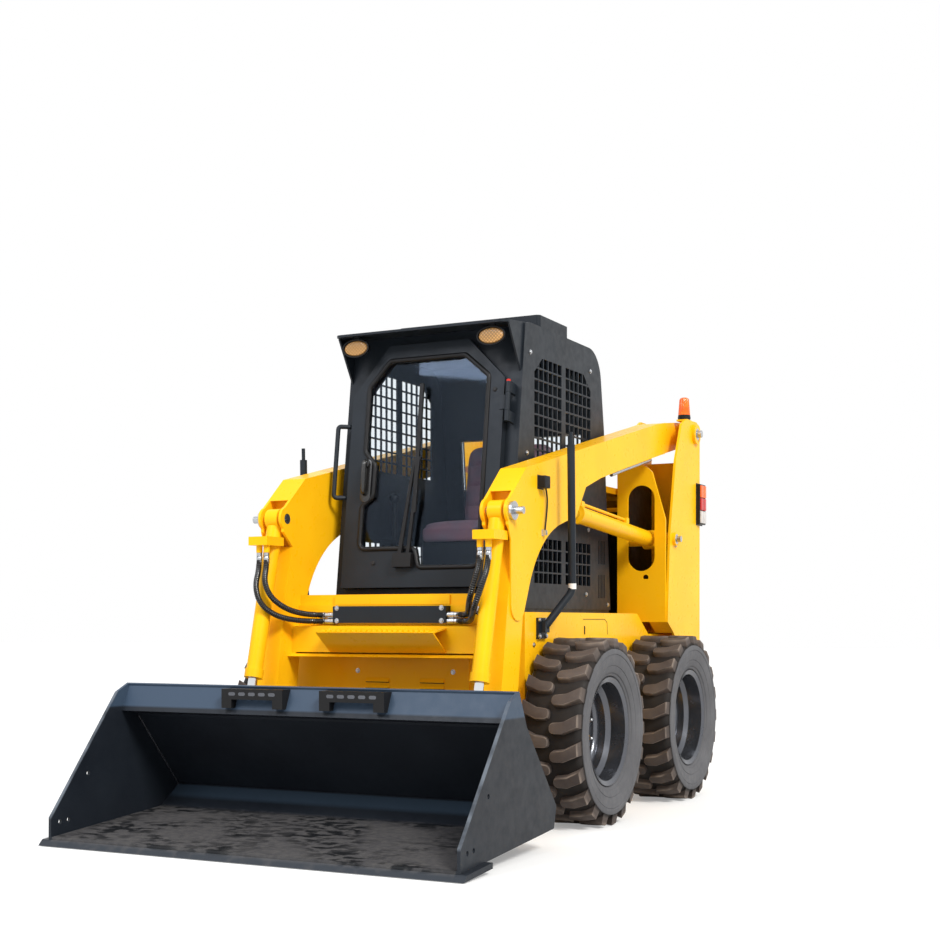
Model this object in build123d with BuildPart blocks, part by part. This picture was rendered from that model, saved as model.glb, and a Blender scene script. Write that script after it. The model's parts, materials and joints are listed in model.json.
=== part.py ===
"""Skid steer loader with a closed cab, radial lift arms and a dirt bucket, in millimetres."""
import os
from math import atan2, cos, degrees, hypot, radians, sin, sqrt, tan

from build123d import *

os.makedirs("parts", exist_ok=True)

# Frame: +X is the machine's left, -Y its front and +Z up, with the origin on the ground below
# the middle of the outline. Stations along Y are counted from the middle of the wheelbase.
mid_y = 399.0
running_gap = 0.05
seat_gap = 0.3
side_gap = 2.0

# Wheels
wheelbase = 1035.0
tyre_diameter = 770.0
tyre_width = 264.0
tread_width = 244.0
carcass_diameter = 714.0
carcass_flat = 200.0
shoulder_diameter = 664.0
bead_lip = 14.0
lug_count = 21
lug_width = 40.0
lug_sweep = 32.0
lug_tip = 3.0
lug_knee = 60.0
wheel_x = 688.0
rim_width = 216.0
rim_seat_diameter = 420.0
rim_flange_diameter = 444.0
rim_wall = 8.0
rim_step = 18.0
disc_face_x = 652.0
disc_thickness = 14.0
disc_corner = 24.0
axle_tube_diameter = 150.0
axle_shaft_diameter = 80.0
axle_nut_width = 96.0
axle_nut_depth = 24.0

# Chassis
rail_x = 545.0
rail_top = 873.0
rail_flange = 165.0
tub_floor = 225.0
tub_front = -800.0
tub_rear = 1080.0
tub_wall = 10.0
tub_nose = (-680.0, 420.0)
tub_tail = (1010.0, 300.0)
rail_drop_y = 486.0
deck_rear = 775.0
cover_width = 600.0
cover_bottom = 468.0
cover_top = 690.0
cover_thickness = 8.0
louvre_length = 112.0
louvre_pitch = 26.0
louvre_spread = 130.0
louvre_top = 600.0
louvre_rise = 9.0
louvre_height = 17.0

# Counterweight
weight_half = 540.0
weight_bottom = 270.0
weight_top = 435.0
weight_rear = 1214.0
weight_corner = (110.0, 84.0)
tow_pin_hole = 30.0

# Rear towers
tower_inner_x = 380.0
tower_outer_x = 640.0
tower_plate = 12.0
tower_front = 655.0
tower_rear = 1150.0
tower_foot = 833.0
tower_top = 1850.0
tower_setback = 32.0
cheek_foot = 520.0
oval_x = 503.5
oval_width = 139.0
oval_bottom = 1081.0
oval_top = 1499.0
lead_hole = 26.0
tower_boss_depth = 15.0

# Lift arms
arm_x = 518.0
arm_width = 114.0
arm_plate = 12.0
arm_pivot = (1070.0, 1786.0)
arm_pin_diameter = 60.0
arm_end_radius = 64.0
lift_base = (748.0, 1238.0)
lift_eye = (-400.0, 1318.0)
lift_pin_diameter = 50.0
tilt_top = (-989.0, 1265.0)
tilt_pin_diameter = 44.0
bucket_hinge = (-1090.0, 210.0)
bucket_pin_diameter = 50.0
tilt_radius = 185.0
tilt_angle = 45.0
cylinder_eye_width = 60.0
lift_barrel_diameter = 75.0
lift_barrel_length = 960.0
lift_rod_diameter = 42.0
tilt_barrel_diameter = 68.0
tilt_barrel_length = 683.0
tilt_rod_diameter = 40.0
cylinder_wall = 7.0
gland_length = 36.0
hard_line_diameter = 14.0
hard_line_start = 335.0
port_length = 34.0
port_width = 26.0

# Cross-member, step and hose cover on the arms
bar_top = 947.0
bar_bottom = 903.0
step_half = 271.0
cover_plate_half = 265.0
sheet = 6.0
hose_diameter = 22.0
hose_port = (-1097.0, 1150.0)
ferrule_length = 30.0

# Bucket
bucket_half = 860.0
lip_half = 886.0
bucket_plate = 10.0
side_plate = 12.0
side_hole_diameter = 18.0
bucket_step_length = 275.0
bucket_step_x = 218.0

# Cab
cab_half = 412.0
cab_wall = 40.0
cab_panel = 8.0
cab_foot = -682.0
cab_rake = 7.56
cab_roof = 2100.0
cab_rear_foot = 460.0
visor_front = -702.0
visor_drop = 24.0
visor_sheet = 10.0
roof_box_height = 76.0
rear_waist_drop = 358.0
window_half = 320.0
window_bottom = 1320.0
roof_rear = 315.0
door_head = 71.0
door_left = 360.0
door_right = -372.0
grille_waist = 1520.0
grille_pitch = 50.0
grille_bar = 7.0
grille_columns = 6
grille_divider = 40.0
grille_middle = -112.0
grille_corner = 92.0
roof_corner = 150.0
visor_corner = 40.0
door_gap = 5.0
door_thickness = 38.0
glass_thickness = 6.0

# Beacon
beacon_radius = 29.0
beacon_foot = 24.0
beacon_lens = 88.0
beacon_chamfer = 6.0

# Tail lamps
tail_lamp_size = (96.0, 205.0)
tail_lamp_depth = 20.0
tail_lamp_height = 1433.5
tail_lamp_set_in = 10.0
lens_rise = 6.0

# Rear door and hood
rear_door_half = 420.0
rear_door_bottom = 440.0
rear_door_top = 1440.0
rear_door_thickness = 36.0
rear_hinge = (436.0, 1150.0)
rear_hinge_heights = (600.0, 1220.0)
hood_half = 372.0
hood_top = 1490.0
hood_front = 484.0
hood_sheet = 8.0
hood_hinge = (474.0, 1490.0)
hood_hinge_x = 200.0

wheel_radius = tyre_diameter / 2
arm_in = arm_x - arm_width / 2
arm_out = arm_x + arm_width / 2
tilt_eye = (
    bucket_hinge[0] - tilt_radius * cos(radians(tilt_angle)),
    bucket_hinge[1] + tilt_radius * sin(radians(tilt_angle)),
)


def side(x=0.0):
    """Plane of the side view: its axes are the stations along Y and the heights."""
    return Plane(origin=(x, mid_y, 0), x_dir=(0, 1, 0), z_dir=(1, 0, 0))


def front(y=0.0):
    """Plane of the front view at a station, facing forwards."""
    return Plane(origin=(0, mid_y + y, 0), x_dir=(1, 0, 0), z_dir=(0, -1, 0))


def level(z=0.0):
    """Horizontal plane at a height."""
    return Plane(origin=(0, mid_y, z), x_dir=(1, 0, 0), z_dir=(0, 0, 1))


def save(builder, label):
    builder.part.label = label
    export_step(builder.part, f"parts/{label}.step")


def slab(points, x_from, x_to, mode=Mode.ADD):
    """Prism of a side outline between two widths."""
    with BuildSketch(side(x_from)) as outline:
        with BuildLine():
            Polyline(*points, close=True)
        make_face()
    extrude(outline.sketch, amount=x_to - x_from, mode=mode)


def block(x, y, z, mode=Mode.ADD):
    """Box between pairs of widths, stations and heights."""
    slab([(y[0], z[0]), (y[1], z[0]), (y[1], z[1]), (y[0], z[1])], x[0], x[1], mode)


def pin(centre, diameter, x_from, x_to, mode=Mode.ADD):
    """Round bar across the machine at a station and height."""
    with BuildSketch(side(x_from)) as outline:
        with Locations(centre):
            Circle(diameter / 2)
    extrude(outline.sketch, amount=x_to - x_from, mode=mode)


def tube_between(start, end, diameter, offset_from, offset_to, x, mode=Mode.ADD):
    """Round bar in the side view along the line from start to end, between two distances from start."""
    run = Vector(0, end[0] - start[0], end[1] - start[1]).normalized()
    base = Vector(x, mid_y + start[0], start[1])
    with BuildSketch(Plane(origin=base + run * offset_from, x_dir=(1, 0, 0), z_dir=run)) as outline:
        Circle(diameter / 2)
    extrude(outline.sketch, amount=offset_to - offset_from, mode=mode)


lug_half_run = (lug_width + lug_sweep) / 2
lug_top = sqrt(wheel_radius**2 - lug_half_run**2)
first_lug = degrees(atan2(lug_half_run, lug_top)) - 90
bead_x = rim_width / 2 - rim_wall - seat_gap


def tyre_ring(x, radius, to_corners=True):
    """Many-sided ring of the tyre, with one side for each lug of a row."""
    with BuildSketch(Plane.YZ.offset(x)) as ring:
        RegularPolygon(radius, lug_count, major_radius=to_corners)
    return ring.sketch


def lug_planes(row, stagger):
    """Planes that touch the tops of one row of lugs, spaced evenly round the tyre."""
    planes = []
    for i in range(lug_count):
        angle = radians(first_lug + (i + stagger) * 360 / lug_count)
        out = Vector(0, cos(angle), sin(angle))
        planes.append(Plane(origin=out * lug_top, x_dir=(row, 0, 0), z_dir=out))
    return planes


# Tyre: flat-sided carcass with two rows of swept lugs that interleave on its middle line
with BuildPart() as tyre_form:
    extrude(tyre_ring(-carcass_flat / 2, carcass_diameter / 2), amount=carcass_flat)
    for hand in (-1, 1):
        shoulder = tyre_ring(hand * tyre_width / 2, shoulder_diameter / 2)
        bead = tyre_ring(hand * bead_x, rim_seat_diameter / 2 + bead_lip)
        loft([tyre_ring(hand * carcass_flat / 2, carcass_diameter / 2), shoulder], ruled=True)
        loft([shoulder, bead], ruled=True, mode=Mode.SUBTRACT)
    bore = tyre_ring(-tyre_width / 2, rim_seat_diameter / 2 + seat_gap, to_corners=False)
    extrude(bore, amount=tyre_width, mode=Mode.SUBTRACT)
    for row, stagger in ((1, 0), (-1, 0.5)):
        with BuildSketch(*lug_planes(row, stagger)) as lugs:
            with BuildLine():
                Polyline(
                    (lug_tip, -row * lug_half_run), (lug_knee, -row * lug_half_run),
                    (tread_width / 2, row * (lug_half_run - lug_width)), (tread_width / 2, row * lug_half_run),
                    (lug_tip, row * (lug_width - lug_half_run)), close=True,
                )
            make_face()
        extrude(lugs.sketch, amount=shoulder_diameter / 2 - lug_top)


def make_wheel(name, hand, axle_y):
    """Tyre and dished rim at one corner: hand is 1 on the machine's left and -1 on its right."""
    centre = Vector(hand * wheel_x, mid_y + axle_y, wheel_radius)
    with BuildPart() as tyre:
        form = tyre_form.part if hand > 0 else tyre_form.part.mirror(Plane.YZ)
        add(form.moved(Location(centre)))
    save(tyre, f"tyre_{name}")

    seat = rim_seat_diameter / 2
    flange = rim_flange_diameter / 2
    edge = rim_width / 2
    inside = seat - rim_wall
    stepped = inside - rim_step
    disc = disc_face_x - wheel_x
    back = disc - disc_thickness
    hole = axle_shaft_diameter / 2 + running_gap
    with BuildPart() as rim:
        with BuildSketch(Plane(origin=centre, x_dir=(hand, 0, 0), z_dir=(0, -hand, 0))):
            with BuildLine():
                Polyline(
                    (disc, stepped - disc_corner), (disc, hole), (back, hole), (back, inside),
                    (rim_wall - edge, inside), (-edge, flange), (rim_wall - edge, seat),
                    (edge - rim_wall, seat), (edge, flange), (edge - rim_wall, inside), (edge / 3, inside),
                    (edge / 3 - rim_step, stepped), (disc + disc_corner, stepped),
                )
                RadiusArc((disc + disc_corner, stepped), (disc, stepped - disc_corner), disc_corner)
            make_face()
        revolve(axis=Axis(centre, (1, 0, 0)))
    save(rim, f"rim_{name}")


for wheel_name, wheel_hand, wheel_y in (
    ("front_left", 1, -wheelbase / 2), ("front_right", -1, -wheelbase / 2),
    ("rear_left", 1, wheelbase / 2), ("rear_right", -1, wheelbase / 2),
):
    make_wheel(wheel_name, wheel_hand, wheel_y)

# Axle tubes with their stub shafts and nuts
with BuildPart() as axles:
    for axle_y in (-wheelbase / 2, wheelbase / 2):
        hub = (axle_y, wheel_radius)
        pin(hub, axle_tube_diameter, rail_x, disc_face_x - disc_thickness - side_gap / 4)
        pin(hub, axle_shaft_diameter, rail_x, disc_face_x + side_gap / 4)
        with BuildSketch(side(disc_face_x + side_gap / 4)):
            with Locations(hub):
                RegularPolygon(axle_nut_width / 2, 6, major_radius=False)
        extrude(amount=axle_nut_depth)
    mirror(about=Plane.YZ)
save(axles, "axles")

# Chassis tub: folded side rails, floor and front wall, open at the rear
tub_outline = [
    (tub_front, tub_nose[1]), (tub_front, rail_top), (rail_drop_y, rail_top),
    (tower_front - tower_plate, deck_rear), (tub_rear, deck_rear), (tub_rear, tub_tail[1]),
    (tub_tail[0], tub_floor), (tub_nose[0], tub_floor),
]
tub_inner = rail_x - tub_wall
flange_x = rail_x - rail_flange
with BuildPart() as chassis:
    slab(tub_outline, -rail_x, rail_x)
    with BuildSketch(side(-tub_inner)) as tub_space:
        with BuildLine():
            Polyline(*tub_outline, close=True)
        make_face()
        offset(amount=-tub_wall, kind=Kind.INTERSECTION, mode=Mode.REPLACE)
    extrude(tub_space.sketch, amount=2 * tub_inner, mode=Mode.SUBTRACT)
    rear_wall = (tub_rear - tub_wall - 1, tub_rear + 1)
    block((-tub_inner, tub_inner), rear_wall, (tub_tail[1] + tub_wall, deck_rear - tub_wall), Mode.SUBTRACT)
    deck = (tub_front + tub_wall, tub_rear + 1)
    block((-flange_x, flange_x), deck, (cover_top + tub_wall, rail_top + 1), Mode.SUBTRACT)
save(chassis, "chassis_tub")

# Louvred cover on the front wall
with BuildPart() as front_cover:
    face = tub_front - cover_thickness
    block((-cover_width / 2, cover_width / 2), (face, tub_front), (cover_bottom, cover_top))
    for column in (-1, 1):
        middle = column * louvre_spread
        for row in range(3):
            z = louvre_top - row * louvre_pitch
            lip = face - louvre_rise
            slab(
                [(face, z), (lip, z - 14), (lip, z - louvre_height), (face, z - louvre_height)],
                middle - louvre_length / 2, middle + louvre_length / 2,
            )
save(front_cover, "front_cover")

# Rear towers: bent boxes that carry the arm pivots and the feet of the lift cylinders
boss_reach = tower_outer_x + tower_boss_depth
door_sill_y = tower_rear - tower_setback
with BuildPart() as towers:
    with BuildSketch(side(tower_outer_x - tower_plate)) as tower_cheek:
        with BuildLine():
            Polyline(
                (745, 780), (tower_front, tower_foot), (690, 1250), (776, 1627), (867, 1815), (930, 1845),
                (1085, tower_top),
            )
            ThreePointArc((1085, tower_top), (1131, 1831), (tower_rear, arm_pivot[1]))
            Polyline((tower_rear, arm_pivot[1]), (tower_rear, cheek_foot), (935, cheek_foot))
            ThreePointArc((935, cheek_foot), (868, 637), (745, 780))
        make_face()
    extrude(tower_cheek.sketch, amount=tower_plate)
    with BuildSketch(side(tower_inner_x)) as tower_wall:
        with BuildLine():
            Polyline(
                (tower_front, deck_rear), (tower_front, 1560), (860, 1800), (960, tower_top),
                (1085, tower_top), (door_sill_y, arm_pivot[1]), (door_sill_y, cheek_foot),
                (tub_rear, cheek_foot), (tub_rear, deck_rear), close=True,
            )
        make_face()
    extrude(tower_wall.sketch, amount=tower_plate)
    inner_face = tower_inner_x + tower_plate
    outer_face = tower_outer_x - tower_plate
    with BuildSketch(front(tower_front + tower_plate)) as tower_front_plate:
        with BuildLine():
            Polyline(
                (outer_face, 1330), (outer_face, tower_foot), (tower_inner_x, tower_foot),
                (tower_inner_x, 1565),
            )
            ThreePointArc((tower_inner_x, 1565), (470, 1606), (560, 1562))
            Line((560, 1562), (outer_face, 1330))
        make_face()
        with Locations((oval_x, (oval_bottom + oval_top) / 2)):
            SlotOverall(oval_top - oval_bottom, oval_width, rotation=90, mode=Mode.SUBTRACT)
        with BuildLine():
            hole_sill = oval_bottom - 1.5 * lead_hole
            hole_ends = (oval_x + 10, oval_x + 10 + lead_hole)
            hole_head = (oval_x + 10 + lead_hole / 2, hole_sill + 0.85 * lead_hole)
            Line((hole_ends[0], hole_sill), (hole_ends[1], hole_sill))
            ThreePointArc((hole_ends[1], hole_sill), hole_head, (hole_ends[0], hole_sill))
        make_face(mode=Mode.SUBTRACT)
    extrude(tower_front_plate.sketch, amount=tower_plate)
    slab(
        [(tower_front, tower_foot), (745, 780), (755, 792), (tower_front + tower_plate, tower_foot + 8)],
        rail_x + seat_gap, outer_face,
    )
    back_plate_y = door_sill_y - tower_plate
    block((inner_face, outer_face), (back_plate_y, door_sill_y), (560, 1650))
    block((inner_face, outer_face), (930, back_plate_y), (780, 780 + tower_plate))
    for hub, barrel_width, boss in ((arm_pivot, arm_width, 100), (lift_base, cylinder_eye_width, 64)):
        pin(hub, boss, inner_face, arm_x - barrel_width / 2 - side_gap)
        pin(hub, boss, arm_x + barrel_width / 2 + side_gap, boss_reach)
    for hub, hole in ((arm_pivot, arm_pin_diameter), (lift_base, lift_pin_diameter)):
        pin(hub, hole + 2 * running_gap, tower_inner_x - 1, boss_reach + 1, Mode.SUBTRACT)
    # Shelf for the beacon, ledge for the hood and knuckles for the rear door
    block((arm_out + 8, tower_outer_x), (950, 1020), (1842, 1850))
    block((hood_half - 14, tower_inner_x), (900, 960), (hood_top - 54, hood_top - 30 - seat_gap))
    mirror(about=Plane.YZ)
    for height in rear_hinge_heights:
        for start, length in ((-50, 50 - seat_gap), (70 + seat_gap, 50)):
            with BuildSketch(level(height + start)) as knuckle:
                with Locations(rear_hinge):
                    Circle(10)
            extrude(knuckle.sketch, amount=length)
            leaf = (height + start, height + start + length)
            block((rear_hinge[0], rear_hinge[0] + 14), (door_sill_y, rear_hinge[1]), leaf)
save(towers, "rear_towers")

# Pins in the towers, with round heads outside
with BuildPart() as tower_pins:
    for hub, size in ((arm_pivot, arm_pin_diameter), (lift_base, lift_pin_diameter)):
        pin(hub, size, tower_inner_x, boss_reach)
        pin(hub, size * 0.62, boss_reach, boss_reach + 22)
    mirror(about=Plane.YZ)
save(tower_pins, "tower_pins")

# Cast counterweight below the rear door and out behind it, with a slot and a hole for a tow pin
with BuildPart() as counterweight:
    with BuildSketch(level(weight_bottom)):
        with BuildLine():
            taper_x = weight_half - weight_corner[0]
            taper_y = weight_rear - weight_corner[1]
            Polyline(
                (-weight_half, tub_rear), (weight_half, tub_rear), (weight_half, taper_y),
                (taper_x, weight_rear), (-taper_x, weight_rear), (-weight_half, taper_y), close=True,
            )
        make_face()
    extrude(amount=weight_top - weight_bottom)
    fillet(counterweight.faces().sort_by(Axis.Y)[-1].edges().filter_by(Axis.Z), 30)
    block((-90, 90), (weight_rear - 64, weight_rear + 1), (weight_bottom + 40, weight_top - 65), Mode.SUBTRACT)
    with Locations((0, mid_y + weight_rear - 34, weight_bottom)):
        Cylinder(tow_pin_hole / 2, 400, mode=Mode.SUBTRACT)
save(counterweight, "counterweight")

# Engine and pump as one mass
with BuildPart() as engine:
    block((-250, 250), (500, 1000), (tub_floor + tub_wall, 980))
    fillet(engine.edges().filter_by(Axis.Z), 30)
save(engine, "engine_block")

# Lift arms: hollow beams that turn down into the legs at the front
arm_back = [(800, 1816), (697, 1799), (-850, 1445), (-1018, 1300), (-1018, 1210)]
arm_belly = [(-520, 1236), (-440, 1258), (-345, 1272), (-228, 1417), (-53, 1471), (258, 1544), (741, 1652)]
arm_crook = [(-868, 880), (-815, 992)]
leg_front = [(-950, 1150), (-1010, 917), (-1068, 570), (-1128, 270), (-1143, 210)]
leg_rear = [(-1040, 175), (-985, 270), (-915, 570)]
arm_end_top = (arm_pivot[0], arm_pivot[1] + arm_end_radius)
arm_end_rear = (arm_pivot[0] + arm_end_radius, arm_pivot[1])
arm_end_foot = (arm_pivot[0], arm_pivot[1] - arm_end_radius)
with BuildPart() as arms:
    with BuildSketch(side(arm_in)) as arm_outline:
        with BuildLine():
            Polyline(arm_end_top, *arm_back, *leg_front, *leg_rear, *arm_crook)
            ThreePointArc(arm_crook[-1], (-690, 1146), arm_belly[0])
            Polyline(*arm_belly, arm_end_foot)
            ThreePointArc(arm_end_foot, arm_end_rear, arm_end_top)
        make_face()
        with Locations(tilt_top, lift_eye, bucket_hinge):
            Circle(50)
    extrude(arm_outline.sketch, amount=arm_width - sheet)
    # Cover plate outside, which ends in a rounded tongue over the leg
    with BuildSketch(side(arm_out - sheet)) as arm_cheek:
        with BuildLine():
            Polyline(*arm_back, (-993, 1150), (-993, 900))
            ThreePointArc((-993, 900), (-925, 838), arm_crook[0])
            Polyline(*arm_crook)
            ThreePointArc(arm_crook[-1], (-690, 1146), arm_belly[0])
            Polyline(*arm_belly, (arm_back[0][0], 1664), arm_back[0])
        make_face()
        with Locations(tilt_top, lift_eye):
            Circle(50)
    extrude(arm_cheek.sketch, amount=sheet)
    # Hollow of the box beam, open below at the lift cylinder's eye and in front at the tilt cylinder's
    hollow = (arm_in + arm_plate, arm_out - arm_plate)
    slab(
        [
            (985, 1800), (697, 1786), (-845, 1432), (-900, 1380), (-900, 1150), (-985, 917), (-1044, 570),
            (-1085, 330), (-1000, 330), (-935, 570), (-885, 900), (-800, 1060), (-640, 1215), (-600, 1000),
            (-200, 1000), (-200, 1438), (-53, 1484), (258, 1557), (741, 1665), (985, 1717),
        ],
        *hollow, Mode.SUBTRACT,
    )
    slab([(-1080, 1345), (-925, 1345), (-925, 1150), (-1100, 1150), (-1100, 1345)], *hollow, Mode.SUBTRACT)
    for hub, hole, boss in (
        (arm_pivot, arm_pin_diameter, 120), (bucket_hinge, bucket_pin_diameter, 100),
    ):
        pin(hub, boss, arm_in, arm_out if hub == arm_pivot else arm_out - sheet)
        pin(hub, hole + 2 * running_gap, arm_in - 1, arm_out + 1, Mode.SUBTRACT)
    for hub, hole in ((tilt_top, tilt_pin_diameter), (lift_eye, lift_pin_diameter)):
        pin(hub, hole + 2 * running_gap, arm_in - 1, arm_out + 1, Mode.SUBTRACT)
    mirror(about=Plane.YZ)
save(arms, "lift_arms")

# Pins on the arms: the tilt cylinder's upper pin and the plugs of the lift rod's eye
with BuildPart() as arm_pins:
    pin(tilt_top, tilt_pin_diameter, arm_in, arm_out)
    pin(tilt_top, 74, arm_out, arm_out + 14)
    pin(tilt_top, 30, arm_out + 14, arm_out + 52)
    for x_from, x_to in ((arm_in, arm_in + arm_plate), (arm_out - arm_plate, arm_out)):
        pin(lift_eye, lift_pin_diameter, x_from, x_to)
    mirror(about=Plane.YZ)
save(arm_pins, "arm_pins")

# Cross-member between the legs
with BuildPart() as cross_member:
    slab(
        [
            (-990, 690), (-958, 705), (-952, 815), (-905, 822), (-905, bar_bottom), (-890, bar_bottom),
            (-890, bar_top), (-840, bar_top), (-840, 700),
        ],
        -arm_in, arm_in,
    )
    slab(
        [
            (-976, 700), (-946, 712), (-940, 806), (-893, 812), (-893, bar_bottom - 10),
            (-852, bar_bottom - 10), (-852, 706),
        ],
        20 - arm_in, arm_in - 20, Mode.SUBTRACT,
    )
    block((-285, 257), (-898, -890), (bar_bottom + 2, bar_top - 2))
save(cross_member, "cross_member")


def cross_face(z):
    """Station of the cross-member's front plate at a height."""
    return -958 + (z - 705) * 6 / 110


# Folded step sheet with a toothed front edge
with BuildPart() as step:
    slab(
        [
            (cross_face(809), 809), (-1070, 790), (cross_face(708), 708), (cross_face(716), 716), (-1056, 788),
            (cross_face(803), 803),
        ],
        -step_half, step_half,
    )
    tooth_pitch = 24.0
    with Locations(*[(i * tooth_pitch, mid_y - 1030, 797) for i in range(-10, 11)]):
        Box(14, 60, 9)
save(step, "step_plate")

# Hose cover with end flanges
with BuildPart() as hose_cover:
    block((-cover_plate_half, cover_plate_half), (-946, -940), (829, 898))
    for x_from in (-cover_plate_half, cover_plate_half - sheet):
        block((x_from, x_from + sheet), (-940, -905), (829, 898))
save(hose_cover, "hose_cover")


def route_radii(points, share=0.45):
    """Largest even bend at each corner of a route."""
    radii = []
    for before, corner, after in zip(points, points[1:], points[2:]):
        first = Vector(*corner) - Vector(*before)
        second = Vector(*after) - Vector(*corner)
        turn = first.get_angle(second)
        radii.append(share * min(first.length, second.length) / tan(radians(turn / 2)))
    return radii


def make_hose(points, diameter):
    """Round tube along straight runs and tangent bends."""
    stations = [(x, mid_y + y, z) for x, y, z in points]
    with BuildLine() as route:
        FilletPolyline(*stations, radius=route_radii(stations))
    path = route.line
    with BuildSketch(Plane(origin=path @ 0, z_dir=path % 0)) as section:
        Circle(diameter / 2)
    sweep(section.sketch, path=path)


# Quick couplers and hose fittings beside the cover
with BuildPart() as couplers:
    for x, z in ((395, 880), (438, 862)):
        for y, radius, depth in ((-905, 17, 24), (-929, 12, 16)):
            with BuildSketch(front(y)):
                with Locations((x, z)):
                    Circle(radius)
            extrude(amount=depth)
    for hand in (-1, 1):
        for z in (862, 836):
            with BuildSketch(side(hand * cover_plate_half)):
                with Locations((-929, z)):
                    Circle(hose_diameter / 2 + 2)
            extrude(amount=hand * ferrule_length)
save(couplers, "hydraulic_couplers")

# Connector box on the left arm, with its lead clipped to the arm's edge
lead_route = [(arm_out + 9, y, z) for y, z in ((-692, 1395), (-664, 1352), (-668, 1280), (-690, 1200))]
with BuildPart() as connector:
    block((arm_out, arm_out + 34), (-742, -690), (1372, 1422))
    block((arm_out, arm_out + 20), (-700, -682), (1184, 1205))
    make_hose(lead_route, 7)
save(connector, "connector_box")

# Tilt hoses from the cylinder's port block round to the hose cover
hose_top = hose_port[1] - ferrule_length - seat_gap
hose_end = cover_plate_half + ferrule_length + seat_gap
hose_routes = {
    "inner": [
        (492, hose_port[0], hose_top), (492, hose_port[0], 1064), (486, -1126, 1000), (460, -1118, 935),
        (424, -1062, 888), (388, -990, 867), (345, -929, 862), (hose_end, -929, 862),
    ],
    "outer": [
        (528, hose_port[0], hose_top), (528, hose_port[0], 1056), (522, -1138, 980), (494, -1142, 905),
        (452, -1086, 856), (402, -1002, 838), (348, -929, 836), (hose_end, -929, 836),
    ],
}
for hand_name, hand in (("left", 1), ("right", -1)):
    for route_name, route in hose_routes.items():
        with BuildPart() as hose:
            make_hose([(hand * x, y, z) for x, y, z in route], hose_diameter)
        save(hose, f"hose_{hand_name}_{route_name}")


def add_hard_line(foot, eye, x):
    """Steel line along the top of a lift barrel, with a port block at each end."""
    along = Vector(eye[0] - foot[0], eye[1] - foot[1]).normalized()
    surface = lift_barrel_diameter / 2
    axis = surface + hard_line_diameter

    def above(distance, height):
        return (
            foot[0] + along.X * distance + along.Y * height,
            foot[1] + along.Y * distance - along.X * height,
        )

    ends = (hard_line_start, lift_barrel_length - gland_length - port_length)
    tube_between(above(0, axis), above(port_length, axis), hard_line_diameter, ends[0], ends[1] + port_length, x)
    for end in ends:
        far = end + port_length
        port = [above(end, surface - 5), above(far, surface - 5), above(far, axis + 10), above(end, axis + 10)]
        slab(port, x - port_width / 2, x + port_width / 2)


def make_cylinder(name, hand, foot, eye, barrel_diameter, barrel_length, rod_diameter, pin_diameter, stroke):
    """Barrel hung on its foot pin and rod with an eye, at rest length between the two pins."""
    x = hand * arm_x
    reach = hypot(eye[0] - foot[0], eye[1] - foot[1])
    half_eye = cylinder_eye_width / 2
    bore = barrel_diameter - 2 * cylinder_wall
    rod_start = barrel_length - stroke - 60
    with BuildPart() as barrel:
        pin(foot, barrel_diameter + 18, x - half_eye, x + half_eye)
        tube_between(foot, eye, barrel_diameter, 36, barrel_length, x)
        tube_between(foot, eye, barrel_diameter + 10, barrel_length - gland_length, barrel_length, x)
        tube_between(foot, eye, bore, rod_start - 110, barrel_length - gland_length, x, Mode.SUBTRACT)
        tube_between(foot, eye, rod_diameter + 2 * running_gap, rod_start, barrel_length + 1, x, Mode.SUBTRACT)
        if name == "lift":
            add_hard_line(foot, eye, x)
        if name == "tilt":
            block((x - 46, x + 46), (-1124, -1000), (1150, 1186))
            for port in (x - 18, x + 18):
                with BuildSketch(level(hose_port[1] - ferrule_length)) as ferrule:
                    with Locations((port - hand * 8, hose_port[0])):
                        Circle(hose_diameter / 2 + 2)
                extrude(ferrule.sketch, amount=ferrule_length)
        pin(foot, pin_diameter + 2 * running_gap, x - half_eye - 1, x + half_eye + 1, Mode.SUBTRACT)
    save(barrel, f"{name}_barrel_{'left' if hand > 0 else 'right'}")

    eye_radius = pin_diameter * 0.72
    with BuildPart() as rod:
        tube_between(foot, eye, rod_diameter, rod_start, reach - eye_radius * 0.8, x)
        pin(eye, 2 * eye_radius, x - half_eye + 5, x + half_eye - 5)
        pin(eye, pin_diameter + 2 * running_gap, x - half_eye, x + half_eye, Mode.SUBTRACT)
    save(rod, f"{name}_rod_{'left' if hand > 0 else 'right'}")


for hand in (1, -1):
    make_cylinder(
        "lift", hand, lift_base, lift_eye, lift_barrel_diameter, lift_barrel_length, lift_rod_diameter,
        lift_pin_diameter, 620,
    )
    make_cylinder(
        "tilt", hand, tilt_top, tilt_eye, tilt_barrel_diameter, tilt_barrel_length, tilt_rod_diameter,
        tilt_pin_diameter, 235,
    )

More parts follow.
